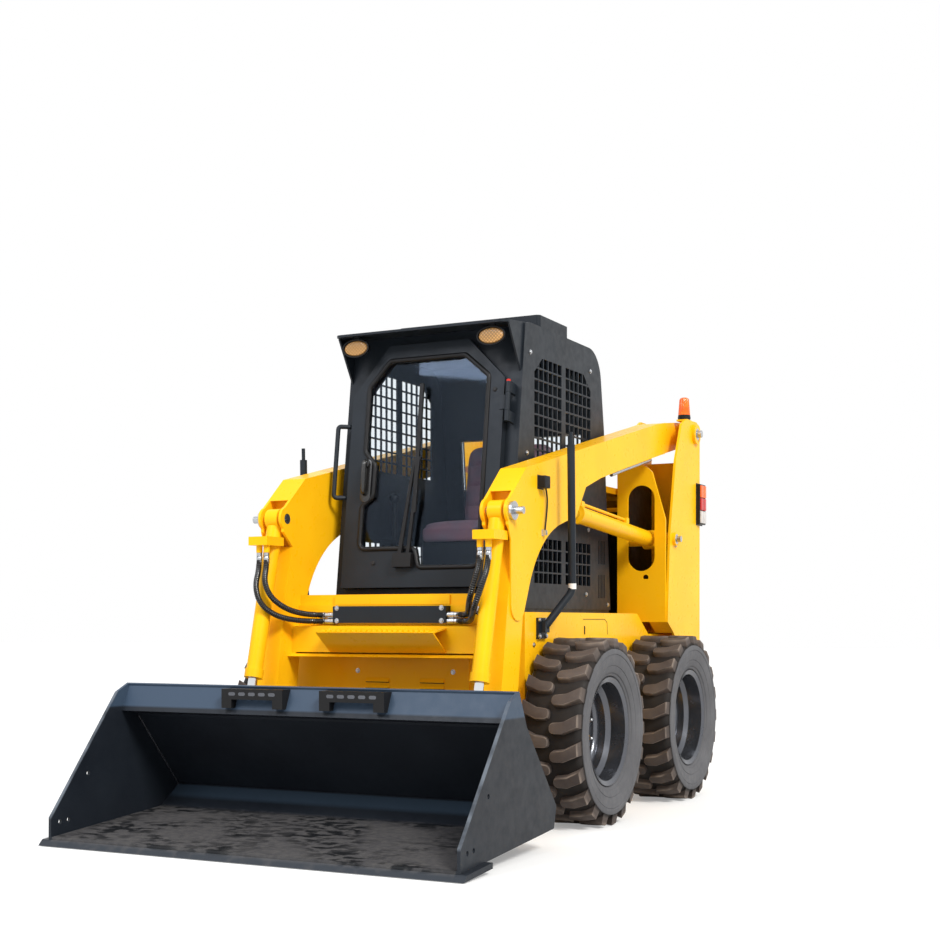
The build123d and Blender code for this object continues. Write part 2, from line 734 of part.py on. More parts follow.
# Bucket shell: bent floor and back between two side plates, with a triangular top beam
heel = (-1212.0, 161.0)
back_knee = (-1472.0, 465.0)
back_top = (-1536.0, 592.0)
beam_fold = (-1583.0, 483.0)
floor_rear = (-1335.0, 72.0)
floor_front = (-1985.0, 24.0)
bucket_mouth = [(-1985, 105), (-1610, 558)]
with BuildPart() as bucket:
    slab(
        [floor_front, floor_rear, (-1233, 80), heel, back_knee, back_top, *reversed(bucket_mouth)],
        -bucket_half, bucket_half,
    )
    with BuildSketch(side(side_plate - bucket_half)) as load_space:
        with BuildLine():
            floor_slope = (floor_rear[1] - floor_front[1]) / (floor_rear[0] - floor_front[0])
            Polyline(
                (-2300, floor_rear[1] + floor_slope * (-2300 - floor_rear[0])), floor_rear, heel, back_knee,
                (back_top[0] - 64, back_top[1] + 128), (-2300, 720), close=True,
            )
        make_face()
        offset(amount=-bucket_plate, kind=Kind.INTERSECTION, mode=Mode.REPLACE)
    extrude(load_space.sketch, amount=2 * (bucket_half - side_plate), mode=Mode.SUBTRACT)
    slab([back_top, beam_fold, (-1490, 470), back_knee], -bucket_half + 1, bucket_half - 1)
    for hole in ((-1780, 253), (-1936, 85), (-1890, 88)):
        pin(hole, side_hole_diameter, -bucket_half - 1, bucket_half + 1, Mode.SUBTRACT)
    # Cutting edge, wider than the side plates and bevelled at its tip
    slab([(-2012, 3), (-1800, 19), (-1800, 39), (-1990, 24)], -lip_half, lip_half)
save(bucket, "bucket_shell")


def beam_face(z):
    """Station of the top beam's front face at a height."""
    return back_top[0] + (z - back_top[1]) * (beam_fold[0] - back_top[0]) / (beam_fold[1] - back_top[1])


# Perforated step brackets on the bucket's top beam
with BuildPart() as bucket_steps:
    for centre in (-bucket_step_x, bucket_step_x):
        ends = (centre - bucket_step_length / 2, centre + bucket_step_length / 2)
        slab([(-1598, 574), (beam_face(574), 574), (beam_face(580), 580), (-1598, 580)], *ends)
        block(ends, (-1598, -1592), (507, 580))
        block((ends[0] + 45, ends[1] - 45), (-1600, -1590), (500, 540), Mode.SUBTRACT)
        for leg in ((ends[0], ends[0] + 45), (ends[1] - 45, ends[1])):
            slab([(-1598, 507), (beam_face(507), 507), (beam_face(574), 574), (-1598, 574)], *leg)
        with BuildSketch(level(570)):
            with Locations((centre, -1568)):
                with GridLocations(36, 28, 7, 2):
                    Circle(8)
        extrude(amount=12, mode=Mode.SUBTRACT)
save(bucket_steps, "bucket_steps")

# Coupler on the bucket's back: ear plates for the arm's and the rod's pins, joined by a tube
back_run = Vector(back_knee[0] - heel[0], back_knee[1] - heel[1]).normalized()
back_out = Vector(back_run.Y, -back_run.X)


def on_back(along, out):
    """Station and height of a point along the bucket's back and out from it."""
    spot = Vector(*heel) + back_run * along + back_out * out
    return (spot.X, spot.Y)


ear_in = arm_in - 16
ear_out = arm_out + 4
ear_plate = 12.0
eye_gap = cylinder_eye_width / 2 - 5 + side_gap
with BuildPart() as coupler:
    for x_from in (ear_in, ear_out):
        with BuildSketch(side(x_from)) as ear:
            with Locations(bucket_hinge, tilt_eye):
                Circle(48)
            with BuildLine():
                Polyline(*[on_back(*spot) for spot in ((-30, 1), (300, 1), (300, 20), (-30, 20))], close=True)
            make_face()
            make_hull()
        extrude(ear.sketch, amount=ear_plate)
        pad = [on_back(*spot) for spot in ((-40, 0.5), (320, 0.5), (320, 14), (-40, 14))]
        slab(pad, x_from - 20, x_from + 32)
    for x_from, x_to in ((ear_in + 1, arm_x - eye_gap), (arm_x + eye_gap, ear_out + ear_plate - 1)):
        pin(tilt_eye, 58, x_from, x_to)
    pin(bucket_hinge, bucket_pin_diameter, ear_in, ear_out + ear_plate)
    mirror(about=Plane.YZ)
    pin(on_back(70, 48), 70, -ear_in - 1, ear_in + 1)
save(coupler, "bucket_coupler")

# Cab shell: raked front with the door opening, roof with its visor, rear wall and floor
rake = tan(radians(cab_rake))


def front_station(z):
    """Station of the cab's raked front face at a height."""
    return cab_foot + (z - rail_top) * rake


def rear_station(z):
    """Station of the cab's rear wall at a height below its waist."""
    return cab_rear_foot + (z - rail_top) * (cab_waist[0] - cab_rear_foot) / (cab_waist[1] - rail_top)


def visor_under(y):
    """Height of the visor's underside at a station."""
    return visor_top - visor_sheet + (y - visor_front) * (visor_drop - visor_sheet) / (-visor_front - 514)


cab_waist = (375.0, cab_roof - rear_waist_drop)
visor_top = cab_roof - visor_drop
window_top = cab_waist[1] - 20
cab_outline = [
    (front_station(rail_top), rail_top), (front_station(cab_roof - 10), cab_roof - 10), (-480, cab_roof),
    (roof_rear, cab_roof), cab_waist, (cab_rear_foot, rail_top),
]
door_axes = Plane(
    origin=(0, mid_y + cab_foot, rail_top), x_dir=(1, 0, 0),
    z_dir=(0, -cos(radians(cab_rake)), sin(radians(cab_rake))),
)
hinge_x = door_left + 22
hinge_out = door_gap + door_thickness + 8
door_bottom = 102.0
door_top = (cab_roof - door_head - rail_top) / cos(radians(cab_rake))
door_shape = [
    (door_right, door_bottom), (door_left, door_bottom), (door_left, door_top - 181), (180, door_top),
    (-205, door_top), (door_right, door_top - 216),
]
hinge_heights = (160.0, door_top - 326)
handle_height = (door_bottom + door_top) / 2 - 64


def hinge_plane(height):
    """Plane across the door's hinge line at a height along it."""
    return Plane(origin=door_axes.from_local_coords((hinge_x, height, hinge_out)), z_dir=door_axes.y_dir)


with BuildPart() as visor:
    slab(
        [
            (visor_front, visor_top), (visor_front, visor_under(visor_front)), (-514, visor_under(-514)),
            (-470, cab_roof),
        ],
        -cab_half, cab_half,
    )
    fillet(visor.faces().sort_by(Axis.Y)[0].edges().filter_by(Axis.Z), visor_corner)
with BuildPart() as cab:
    with BuildSketch(side(-cab_half)) as cab_ring:
        with BuildLine():
            Polyline(*cab_outline, close=True)
        make_face()
        fillet(cab_ring.vertices().sort_by_distance((roof_rear, cab_roof))[0], roof_corner)
        offset(amount=-cab_wall, kind=Kind.INTERSECTION, mode=Mode.SUBTRACT)
    extrude(cab_ring.sketch, amount=2 * cab_half)
    with BuildSketch(door_axes) as doorway:
        with BuildLine():
            Polyline(*door_shape, close=True)
        make_face()
        offset(amount=-28, kind=Kind.INTERSECTION, mode=Mode.REPLACE)
    extrude(doorway.sketch, amount=-2 * cab_wall, mode=Mode.SUBTRACT)
    block((-window_half, window_half), (300, 480), (window_bottom, window_top), Mode.SUBTRACT)
    add(visor.part)
    for x_from, x_to in ((-cab_half, cab_panel - cab_half), (cab_half - cab_panel, cab_half)):
        slab(
            [
                (visor_front + visor_corner, visor_top), (visor_front + visor_corner, visor_top - 12),
                (front_station(cab_roof - 215), cab_roof - 215), (front_station(cab_roof - 20), cab_roof - 15),
            ],
            x_from, x_to,
        )
    # Hinge knuckles that carry the door
    for height in hinge_heights:
        for start, length in ((-46, 45), (77, 45)):
            with BuildSketch(hinge_plane(height + start)) as knuckle:
                Circle(11)
            extrude(knuckle.sketch, amount=length)
            with BuildSketch(door_axes) as knuckle_base:
                with Locations((hinge_x + 6, height + start + length / 2)):
                    Rectangle(12, length)
            extrude(knuckle_base.sketch, amount=hinge_out)
save(cab, "cab_shell")

# Cab side panels: plates with square grilles, whose upper windows have cut corners
panel_outline = [(front_station(890) + 2, 890), *cab_outline[1:-1], (cab_rear_foot, 890)]
grille_half = grille_columns * grille_pitch / 2
with BuildPart() as cab_sides:
    with BuildSketch(side(cab_half)) as panel:
        with BuildLine():
            Polyline(*panel_outline, close=True)
        make_face()
        fillet(panel.vertices().sort_by_distance((roof_rear, cab_roof))[0], roof_corner)
    extrude(panel.sketch, amount=cab_panel)
    for bottom, top, corner in ((grille_waist, cab_roof - 120, grille_corner), (rail_top + 123, 1224, 0)):
        rows = int((top - bottom) / grille_pitch)
        head = bottom + rows * grille_pitch
        for end in (-1, 1):
            middle = grille_middle + end * (grille_half + grille_divider / 2)
            outer = middle + end * grille_half
            with BuildSketch(side(cab_half)) as grille:
                with Locations((middle, (bottom + head) / 2)):
                    with GridLocations(grille_pitch, grille_pitch, grille_columns, rows):
                        Rectangle(grille_pitch - grille_bar, grille_pitch - grille_bar)
                if corner:
                    cut = [(outer, head), (outer - end * corner, head), (outer, head - 0.8 * corner)]
                    with BuildLine():
                        Polyline(*cut, close=True)
                    make_face(mode=Mode.SUBTRACT)
            extrude(grille.sketch, amount=cab_panel, mode=Mode.SUBTRACT)
    with BuildSketch(side(cab_half)) as vents:
        for z in (1000, 1160):
            with Locations((345, z)):
                with GridLocations(18, 1, 5, 1):
                    Rectangle(8, 110)
    extrude(vents.sketch, amount=cab_panel, mode=Mode.SUBTRACT)
    mirror(about=Plane.YZ)
save(cab_sides, "cab_side_panels")

pane_bottom = window_bottom + seat_gap
pane_top = window_top - seat_gap
with BuildPart() as rear_window:
    slab(
        [
            (rear_station(z) - depth, z)
            for z, depth in ((pane_bottom, 24), (pane_bottom, 18), (pane_top, 18), (pane_top, 24))
        ],
        seat_gap - window_half, window_half - seat_gap,
    )
save(rear_window, "rear_window")

# Air conditioning box on the roof
with BuildPart() as roof_box:
    block((-330, 370), (-265, 60), (cab_roof, cab_roof + roof_box_height))
    fillet(roof_box.edges().filter_by(Axis.Z), 18)
save(roof_box, "roof_box")

# Oval work lamps below the visor
with BuildPart() as work_lamps:
    for lamp_y, lamp_width, lamp_height in ((-662, 132, 80), (-622, 92, 56)):
        with BuildSketch(front(lamp_y)):
            with Locations((-326, visor_top - 55)):
                Ellipse(lamp_width / 2, lamp_height / 2)
    loft()
    block((-338, -314), (-652, -636), (visor_top - 36, visor_under(-652)))
    mirror(about=Plane.YZ)
save(work_lamps, "work_lamps")

# Seat with a backrest, and the two control levers beside it
cab_floor = rail_top + cab_wall
with BuildPart() as seat:
    block((-235, 235), (-260, 210), (cab_floor, 1180))
    slab([(-300, 1180), (230, 1180), (230, 1260), (-300, 1310)], -245, 245)
    slab([(130, 1265), (230, 1260), (300, 1700), (220, 1700)], -235, 235)
save(seat, "seat")
with BuildPart() as levers:
    for x in (-300, 300):
        block((x - 45, x + 45), (-420, -300), (cab_floor, 1200))
        with Locations((x, mid_y - 360, 1200)):
            Cylinder(13, 190, align=(Align.CENTER, Align.CENTER, Align.MIN))
        with Locations((x, mid_y - 360, 1390)):
            Sphere(26)
save(levers, "control_levers")

# Bent posts in front of the side windows, on brackets at the rails
post_diameter = 32.0
rail_bends = [(-388, 1.5), (-388, 30), (-428, 62)]
rail_foot = 1375.0
rail_head = 1690.0
post_route = [(566, -650, 812), (650, -560, 960), (650, -575, 1560)]
with BuildPart() as posts:
    post_points = [(x, mid_y + y, z) for x, y, z in post_route]
    with BuildLine() as post_line:
        FilletPolyline(*post_points, radius=60)
    post_path = post_line.line
    with BuildSketch(Plane(origin=post_path @ 0, z_dir=post_path % 0)):
        Circle(post_diameter / 2)
    sweep(path=post_path)
    with Locations(Plane(origin=post_path @ 1, z_dir=post_path % 1)):
        Cylinder(8, 52, align=(Align.CENTER, Align.CENTER, Align.MIN))
    block((rail_x, rail_x + 12), (-690, -606), (765, 850))
    block((rail_x + 12, rail_x + 34), (-672, -630), (790, 836))
    mirror(about=Plane.YZ)
    # Hand rail on the right front pillar
    rail_route = [(*bend, rail_foot) for bend in rail_bends]
    rail_route += [(*bend, rail_head) for bend in reversed(rail_bends)]
    with BuildLine() as rail_line:
        FilletPolyline(*[(x, mid_y + front_station(z) - reach, z) for x, reach, z in rail_route], radius=14)
    rail_path = rail_line.line
    with BuildSketch(Plane(origin=rail_path @ 0, z_dir=rail_path % 0)):
        Circle(10)
    sweep(path=rail_path)
save(posts, "posts_and_handrail")

# Beacon on the left tower, and tail lamps with six lenses each on the towers' cheeks
with BuildPart() as beacon:
    with Locations((612, mid_y + 985, 1850)):
        Cylinder(beacon_radius, beacon_foot, align=(Align.CENTER, Align.CENTER, Align.MIN))
    with Locations((612, mid_y + 985, 1850 + beacon_foot)):
        Cone(beacon_radius - 2, beacon_radius - 8, beacon_lens, align=(Align.CENTER, Align.CENTER, Align.MIN))
    chamfer(beacon.faces().sort_by(Axis.Z)[-1].edges(), beacon_chamfer)
save(beacon, "beacon")
with BuildPart() as tail_lamps:
    lamp_middle = (tower_rear - tail_lamp_set_in, tail_lamp_height)
    with BuildSketch(side(tower_outer_x)) as lamp_base:
        with Locations(lamp_middle):
            RectangleRounded(tail_lamp_size[0], tail_lamp_size[1], 8)
    extrude(lamp_base.sketch, amount=tail_lamp_depth)
    with BuildSketch(side(tower_outer_x + tail_lamp_depth)) as lenses:
        with Locations(lamp_middle):
            with GridLocations(tail_lamp_size[0] / 2 - 4, tail_lamp_size[1] / 3 - 3, 2, 3):
                Rectangle(tail_lamp_size[0] / 2 - 8, tail_lamp_size[1] / 3 - 6)
    extrude(lenses.sketch, amount=lens_rise)
    mirror(about=Plane.YZ)
save(tail_lamps, "tail_lamps")

# Door: framed leaf hinged on the machine's left, with its pane, handle and wiper
glass_shape = [
    (-292, 270), (-20, 270), (0, 186), (286, 186), (286, door_top - 166), (170, door_top - 68),
    (-196, door_top - 68), (-292, door_top - 181), (-292, handle_height + 130), (-240, handle_height + 70),
    (-240, handle_height - 70), (-292, handle_height - 110),
]
with BuildPart() as door:
    with BuildSketch(door_axes.offset(door_gap)):
        with BuildLine():
            Polyline(*door_shape, close=True)
        make_face()
        with BuildLine():
            Polyline(*glass_shape, close=True)
        make_face(mode=Mode.SUBTRACT)
    extrude(amount=door_thickness)
    for height in hinge_heights:
        with BuildSketch(hinge_plane(height)):
            Circle(11)
        extrude(amount=76)
        with BuildSketch(door_axes.offset(door_gap + door_thickness - 4)):
            with Locations(((door_left + hinge_x) / 2 - 8, height + 38)):
                Rectangle(40, 60)
        extrude(amount=8)
save(door, "door_frame")
with BuildPart() as door_glass:
    with BuildSketch(door_axes.offset(door_gap + door_thickness / 2)):
        with BuildLine():
            Polyline(*glass_shape, close=True)
        make_face()
        offset(amount=-seat_gap, kind=Kind.INTERSECTION, mode=Mode.REPLACE)
    extrude(amount=glass_thickness)
save(door_glass, "door_glass")
face_out = door_gap + door_thickness
with BuildPart() as door_handle:
    with BuildSketch(door_axes.offset(face_out)):
        with Locations((-275, handle_height)):
            SlotOverall(190, 52, rotation=90)
    extrude(amount=34)
    fillet(door_handle.faces().sort_by(Axis.Y)[0].edges(), 10)
save(door_handle, "door_handle")
with BuildPart() as wiper:
    with BuildSketch(door_axes.offset(face_out)):
        with Locations((-62, 215)):
            Rectangle(90, 60)
    extrude(amount=32)
    with BuildSketch(door_axes.offset(face_out + 10)):
        with BuildLine():
            Polyline((-92, 215), (-40, 660), (-28, 660), (-74, 215), close=True)
        make_face()
        with BuildLine():
            Polyline((-50, 215), (-18, 660), (-8, 660), (-34, 215), close=True)
        make_face()
        with Locations((-22, (420 + door_top - 186) / 2)):
            Rectangle(18, door_top - 186 - 420)
    extrude(amount=12)
save(wiper, "wiper")

# Rear door with cooling slots
with BuildPart() as rear_door:
    with BuildSketch(front(tower_rear + 10)):
        with Locations((0, (rear_door_bottom + rear_door_top) / 2)):
            RectangleRounded(2 * rear_door_half, rear_door_top - rear_door_bottom, 30)
        with Locations((0, 1010)):
            with GridLocations(300, 56, 2, 9):
                SlotOverall(250, 26, mode=Mode.SUBTRACT)
    extrude(amount=rear_door_thickness)
    for height in rear_hinge_heights:
        with BuildSketch(level(height)):
            with Locations(rear_hinge):
                Circle(10)
        extrude(amount=70)
        leaf_y = (rear_hinge[1] - 4, rear_hinge[1] + 8)
        block((rear_door_half - 20, rear_hinge[0]), leaf_y, (height, height + 70))
save(rear_door, "rear_door")

# Bulkhead behind the cab, with the knuckles of the hood
with BuildPart() as bulkhead:
    reach = tower_inner_x + tower_plate
    block((-reach, reach), (466, hood_hinge[0]), (rail_top, hood_hinge[1] - 8))
    for hand in (-1, 1):
        for x_from in (hood_hinge_x - 72, hood_hinge_x + 31):
            x = sorted((hand * x_from, hand * (x_from + 41)))
            pin(hood_hinge, 16, *x)
            block(x, (466, hood_hinge[0]), (hood_hinge[1] - 20, hood_hinge[1]))
save(bulkhead, "bulkhead")

# Engine hood between the towers, folded down at its rear edge
with BuildPart() as hood:
    slab(
        [
            (hood_front, hood_top - 30), (hood_front, hood_top), (1030, hood_top), (1100, hood_top - 40),
            (1100, hood_top - 60), (1020, hood_top - 30),
        ],
        -hood_half, hood_half,
    )
    block(
        (hood_sheet - hood_half, hood_half - hood_sheet), (hood_front + hood_sheet, 1014),
        (hood_top - 31, hood_top - hood_sheet), Mode.SUBTRACT,
    )
    for hand in (-1, 1):
        x = (hand * hood_hinge_x - 30, hand * hood_hinge_x + 30)
        pin(hood_hinge, 16, *x)
        block(x, (hood_hinge[0], hood_front + hood_sheet), (hood_hinge[1] - 8, hood_hinge[1] + 8))
save(hood, "hood")
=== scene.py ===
# %% [markdown]
# # Dressing a skid steer loader
#
# The solids of the loader arrive as a fixed frame. This lesson gives them paint, rubber, steel and
# glass, adds the pieces that the solids only hint at, and sets up the camera and the light.

# %% Load the frame
import json
from math import cos, radians, sin, tau

import bmesh
import bpy
from mathutils import Matrix, Vector


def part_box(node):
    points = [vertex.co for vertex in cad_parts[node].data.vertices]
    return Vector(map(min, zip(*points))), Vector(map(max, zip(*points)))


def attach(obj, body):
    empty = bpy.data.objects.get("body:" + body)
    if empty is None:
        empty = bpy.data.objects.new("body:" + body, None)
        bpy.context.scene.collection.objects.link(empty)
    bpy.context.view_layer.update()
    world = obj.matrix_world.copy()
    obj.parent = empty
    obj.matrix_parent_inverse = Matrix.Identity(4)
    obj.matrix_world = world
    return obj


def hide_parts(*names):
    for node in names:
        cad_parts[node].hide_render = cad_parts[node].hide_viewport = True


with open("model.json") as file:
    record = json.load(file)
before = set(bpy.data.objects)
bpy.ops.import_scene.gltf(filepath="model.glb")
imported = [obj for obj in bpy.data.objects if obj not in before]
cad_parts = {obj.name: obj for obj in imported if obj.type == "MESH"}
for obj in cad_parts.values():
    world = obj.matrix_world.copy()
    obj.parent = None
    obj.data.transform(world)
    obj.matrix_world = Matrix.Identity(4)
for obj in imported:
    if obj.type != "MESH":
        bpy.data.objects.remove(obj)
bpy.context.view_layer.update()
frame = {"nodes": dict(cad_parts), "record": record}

# %% [markdown]
# ## Colours and nodes
#
# Colours are written as hex codes. Blender's shaders work with linear light, so each code is
# converted. One helper adds a node to a tree, sets its options and fills its inputs; it serves the
# materials and the geometry trees alike. Worn or dirty surfaces are coats laid over each other, each
# with ramps that say where it lies.


# %% Colour and node helpers
def linear(code, alpha=1.0):
    """Hex colour code as linear RGBA."""
    shares = [int(code[i:i + 2], 16) / 255 for i in (1, 3, 5)]
    return tuple(s / 12.92 if s <= 0.04045 else ((s + 0.055) / 1.055) ** 2.4 for s in shares) + (alpha,)


def fill(tree, node, inputs):
    """Fill a node's inputs, in order or by name: a socket is linked, anything else is a value."""
    for key, value in inputs.items() if isinstance(inputs, dict) else enumerate(inputs):
        if isinstance(value, bpy.types.NodeSocket):
            tree.links.new(value, node.inputs[key])
        else:
            node.inputs[key].default_value = value


def add(tree, kind, inputs=(), out=0, **options):
    """New node with its options and inputs; gives one output, or the node itself for None."""
    node = tree.nodes.new(kind)
    for key, value in options.items():
        setattr(node, key, value)
    fill(tree, node, inputs)
    return node if out is None else node.outputs[out]


def new_material(name):
    """Fresh material; returns it, its tree, its Principled shader and its place socket in metres."""
    material = bpy.data.materials.new(name)
    material.use_nodes = True
    tree = material.node_tree
    return material, tree, tree.nodes["Principled BSDF"], add(tree, "ShaderNodeTexCoord", out="Object")


def zone_share(tree, *ramps):
    """Product of ramps; each is a value, the range it rises over and, if need be, the range it gives."""
    share = 1.0
    for ramp in ramps:
        rise = add(tree, "ShaderNodeMapRange", ramp)
        share = add(tree, "ShaderNodeMath", [share, rise], operation="MULTIPLY")
    return share


def coats(tree, base, *layers):
    """Base colour with coats over it; each coat is its colour and the ramps whose product is its share."""
    for colour, *ramps in layers:
        share = zone_share(tree, *ramps)
        base = add(tree, "ShaderNodeMix", {0: share, 6: base, 7: colour}, out=2, data_type="RGBA")
    return base


def plain_finish(name, colours, roughness, metallic=0.0, cloud=200, grain=(2.86, 0.08), sheen=0.25):
    """Everyday surface: two colours in clouds, uneven gloss, and a grain of a size and a depth."""
    material, tree, shader, spot = new_material(name)
    grain_size, grain_depth = grain
    cloudy, patchy, grit = (
        add(tree, "ShaderNodeTexNoise", {"Vector": spot, "Scale": 1000 / size, "Detail": detail})
        for size, detail in ((cloud, 4.0), (cloud / 6, 4.0), (grain_size, 2.0))
    )
    first, second = (linear(code) for code in colours)
    fill(tree, shader, {
        "Base Color": coats(tree, first, (second, (cloudy, 0.3, 0.75))),
        "Roughness": add(tree, "ShaderNodeMapRange", [patchy, 0.3, 0.7, roughness * 0.85, roughness * 1.2]),
        "Metallic": metallic,
        "Specular IOR Level": sheen,
        "Normal": add(tree, "ShaderNodeBump", {"Height": grit, "Strength": grain_depth, "Distance": 0.0006}),
    })
    return material


# %% [markdown]
# ## Paints and plain finishes
#
# The machine's panels are sprayed and baked, its small parts are moulded, plated or cast. All of them
# share one recipe: two close colours in soft clouds, a gloss that wavers a little, and a fine grain.
# Sizes are in millimetres. Real grains here are well under a millimetre, and they are drawn at 1 to 6 mm
# so that they show.

# %% Paints
# Sprayed gloss enamel on folded steel: an even, saturated coat without a visible grain.
no_grain = (2.86, 0.0)
yellow = plain_finish("gloss_enamel", ("#FCBF14", "#F9B60E"), 0.30, grain=no_grain, sheen=0.14)
# Powder coat on the cab: a dark satin skin with a blue cast and broad, dull highlights.
cab_black = plain_finish("powder_coat", ("#20262D", "#191E24"), 0.40, sheen=0.22)
# Metallic lacquer on the rims: grey flakes that mirror the surroundings in soft patches.
rim_dark = plain_finish(
    "metallic_lacquer", ("#6C6E74", "#5B5D63"), 0.24, metallic=0.85, cloud=333.3, grain=no_grain,
)

# %% Metals
# Sand-cast iron: dark, dull and pitted.
cast_grey = plain_finish("cast_iron", ("#2B2B2D", "#222224"), 0.62, grain=(6.25, 0.5))
# Zinc-plated steel on screws, sleeves and pipes: bright and a little cloudy.
steel = plain_finish("zinc_plated_steel", ("#C9CBCE", "#AEB1B5"), 0.28, metallic=1.0, cloud=33.33)
# Hard chrome on ground rods: close to a mirror.
chrome = plain_finish(
    "hard_chrome", ("#E4E6E8", "#D5D8DA"), 0.10, metallic=1.0, cloud=71.43, grain=(2.86, 0.01),
)

# %% Rubbers and plastics
# Nitrile rubber, extruded: black with a brown cast and a weak sheen.
hose_rubber = plain_finish("nitrile_rubber", ("#141312", "#1E1B19"), 0.45, grain=(2.0, 0.2))
# Moulded ABS with a fine texture: deep black with soft highlights.
black_plastic = plain_finish("moulded_abs", ("#111112", "#18181A"), 0.42, grain=(1.43, 0.3))
# Moulded nylon: black and shiny on its ridges.
guard_black = plain_finish("moulded_nylon", ("#1B1B1C", "#242424"), 0.22, grain=(2.86, 0.1), sheen=0.6)
# Moulded polythene: a soft, waxy red.
red_cap = plain_finish("polythene", ("#C02A22", "#A51F1A"), 0.4, cloud=33.33)
# Polyester tape: pale, flat and without depth.
pale_tape = plain_finish("polyester_tape", ("#E6E6E4", "#DADAD8"), 0.5, cloud=33.33)
# Embossed vinyl on the seat: dull, with rosy and grey patches as they show through the pane.
seat_cover = plain_finish("vinyl", ("#A06C77", "#6C6F7E"), 0.5, cloud=142.9, grain=(2.38, 0.3))

# %% Lenses
# Moulded acrylic, tinted through: smooth and glossy, with colour that gathers in the thick parts.
lens_look = {"cloud": 25.0, "grain": (2.86, 0.02), "sheen": 0.4}
amber = plain_finish("amber_acrylic", ("#F25A0C", "#FA7A1E"), 0.14, **lens_look)
red = plain_finish("red_acrylic", ("#C81D1E", "#AE1618"), 0.14, **lens_look)
white_lens = plain_finish("clear_acrylic", ("#D2CDC9", "#BDB7B3"), 0.14, **lens_look)
print("plain finishes:", len(bpy.data.materials))

# %% [markdown]
# Glass is a clear shell with faint smudges and a blue cast in what it mirrors. Its refraction is kept
# below that of real glass, 1.52, so that the cab's inside stays legible behind the flat panes.

# %% Glass
glass, tree, shader, spot = new_material("toughened_glass")
smudge_size = 142.9
smudges = add(tree, "ShaderNodeTexNoise", {"Vector": spot, "Scale": 1000 / smudge_size, "Detail": 6.0})
fill(tree, shader, {
    "Base Color": linear("#EAF2F7"),
    "Roughness": add(tree, "ShaderNodeMapRange", [smudges, 0.35, 0.75, 0.01, 0.06]),
    "Transmission Weight": 1.0,
    "IOR": 1.32,
    "Specular Tint": linear("#B9CFEE"),
})

# %% [markdown]
# A bucket is painted once and scraped for ever after. The enamel stays near black on the back. The
# floor is scuffed grey with dark smears across it. The crease and the top strip carry a bluer tone,
# which is a painted reflection. A pale band along the mouth of the side walls is a painted highlight,
# broken up like rubbed paint, and the cutting edge is worn down to dull steel. Heights, widths and
# stations of these zones are in metres, and the sizes of the patterns in millimetres.

# %% Where the bucket is worn, and where light is painted
bucket_finish, tree, shader, spot = new_material("worn_enamel")
across, along, height = add(tree, "ShaderNodeSeparateXYZ", [spot], out=None).outputs
smear_spot = add(tree, "ShaderNodeMapping", {"Vector": spot, "Scale": (0.55, 1.0, 1.0)})
strokes, drifts, cloudy, dusty, rubs, chips, patchy, grit = (
    add(tree, "ShaderNodeTexNoise", {"Vector": vector, "Scale": 1000 / size, "Detail": detail})
    for vector, size, detail in (
        (smear_spot, 33.33, 9.0), (spot, 312.5, 3.0), (spot, 250, 4.0), (spot, 22.22, 5.0),
        (spot, 83.33, 5.0), (spot, 55.56, 5.0), (spot, 40, 4.0), (spot, 11.11, 4.0),
    )
)
mouth_normal = (0, -0.7704, 0.6377)
mouth = add(tree, "ShaderNodeVectorMath", [spot, mouth_normal], out="Value", operation="DOT_PRODUCT")
walls = [(across, 0.845, 0.840), (across, -0.845, -0.840)]
on_floor = [(height, 0.10, 0.08), (along, -0.93, -0.96), *walls]
# Crease between the floor and the back: a bluish painted reflection lies here.
crease_heights = [(height, 0.088, 0.092), (height, 0.160, 0.156)]
crease_stations = [(along, -0.90, -0.88), (along, -0.818, -0.822)]
# A pale band painted along the mouth edge of the side walls: a painted highlight, broken up by noise.
mouth_highlight = [(mouth, 1.2838, 1.2868), (rubs, 0.35, 0.6, 0.25, 1.0)]
bare = [(along, -1.583, -1.60), (chips, 0.3, 0.5, 0.55, 1.0)]

# %% Bucket finish
paint = coats(tree, linear("#171B22"), (linear("#1E232A"), (cloudy, 0.3, 0.7)))
dust = coats(tree, linear("#454446"), (linear("#545251"), (dusty, 0.35, 0.7)))
floor_tone = coats(tree, dust, (linear("#17181A"), (strokes, 0.46, 0.56), (drifts, 0.40, 0.56)))
fill(tree, shader, {
    "Base Color": coats(
        tree, paint,
        (floor_tone, *on_floor),
        # The top strip and the crease get a bluer colour as painted reflection; the mouth band is painted
        # highlight.
        (linear("#374658"), (height, 0.497, 0.505)),
        (linear("#33414F"), *crease_heights, *crease_stations, *walls),
        (linear("#5D646D"), *mouth_highlight),
        (linear("#2C3138"), *bare),
    ),
    "Metallic": add(tree, "ShaderNodeMath", [zone_share(tree, *bare), 0.15], operation="MULTIPLY"),
    "Roughness": add(tree, "ShaderNodeMapRange", [patchy, 0.3, 0.7, 0.36, 0.5]),
    "Specular IOR Level": 0.25,
    "Normal": add(tree, "ShaderNodeBump", {"Height": grit, "Strength": 0.12, "Distance": 0.0008}),
})
print("bucket finish nodes:", len(tree.nodes))
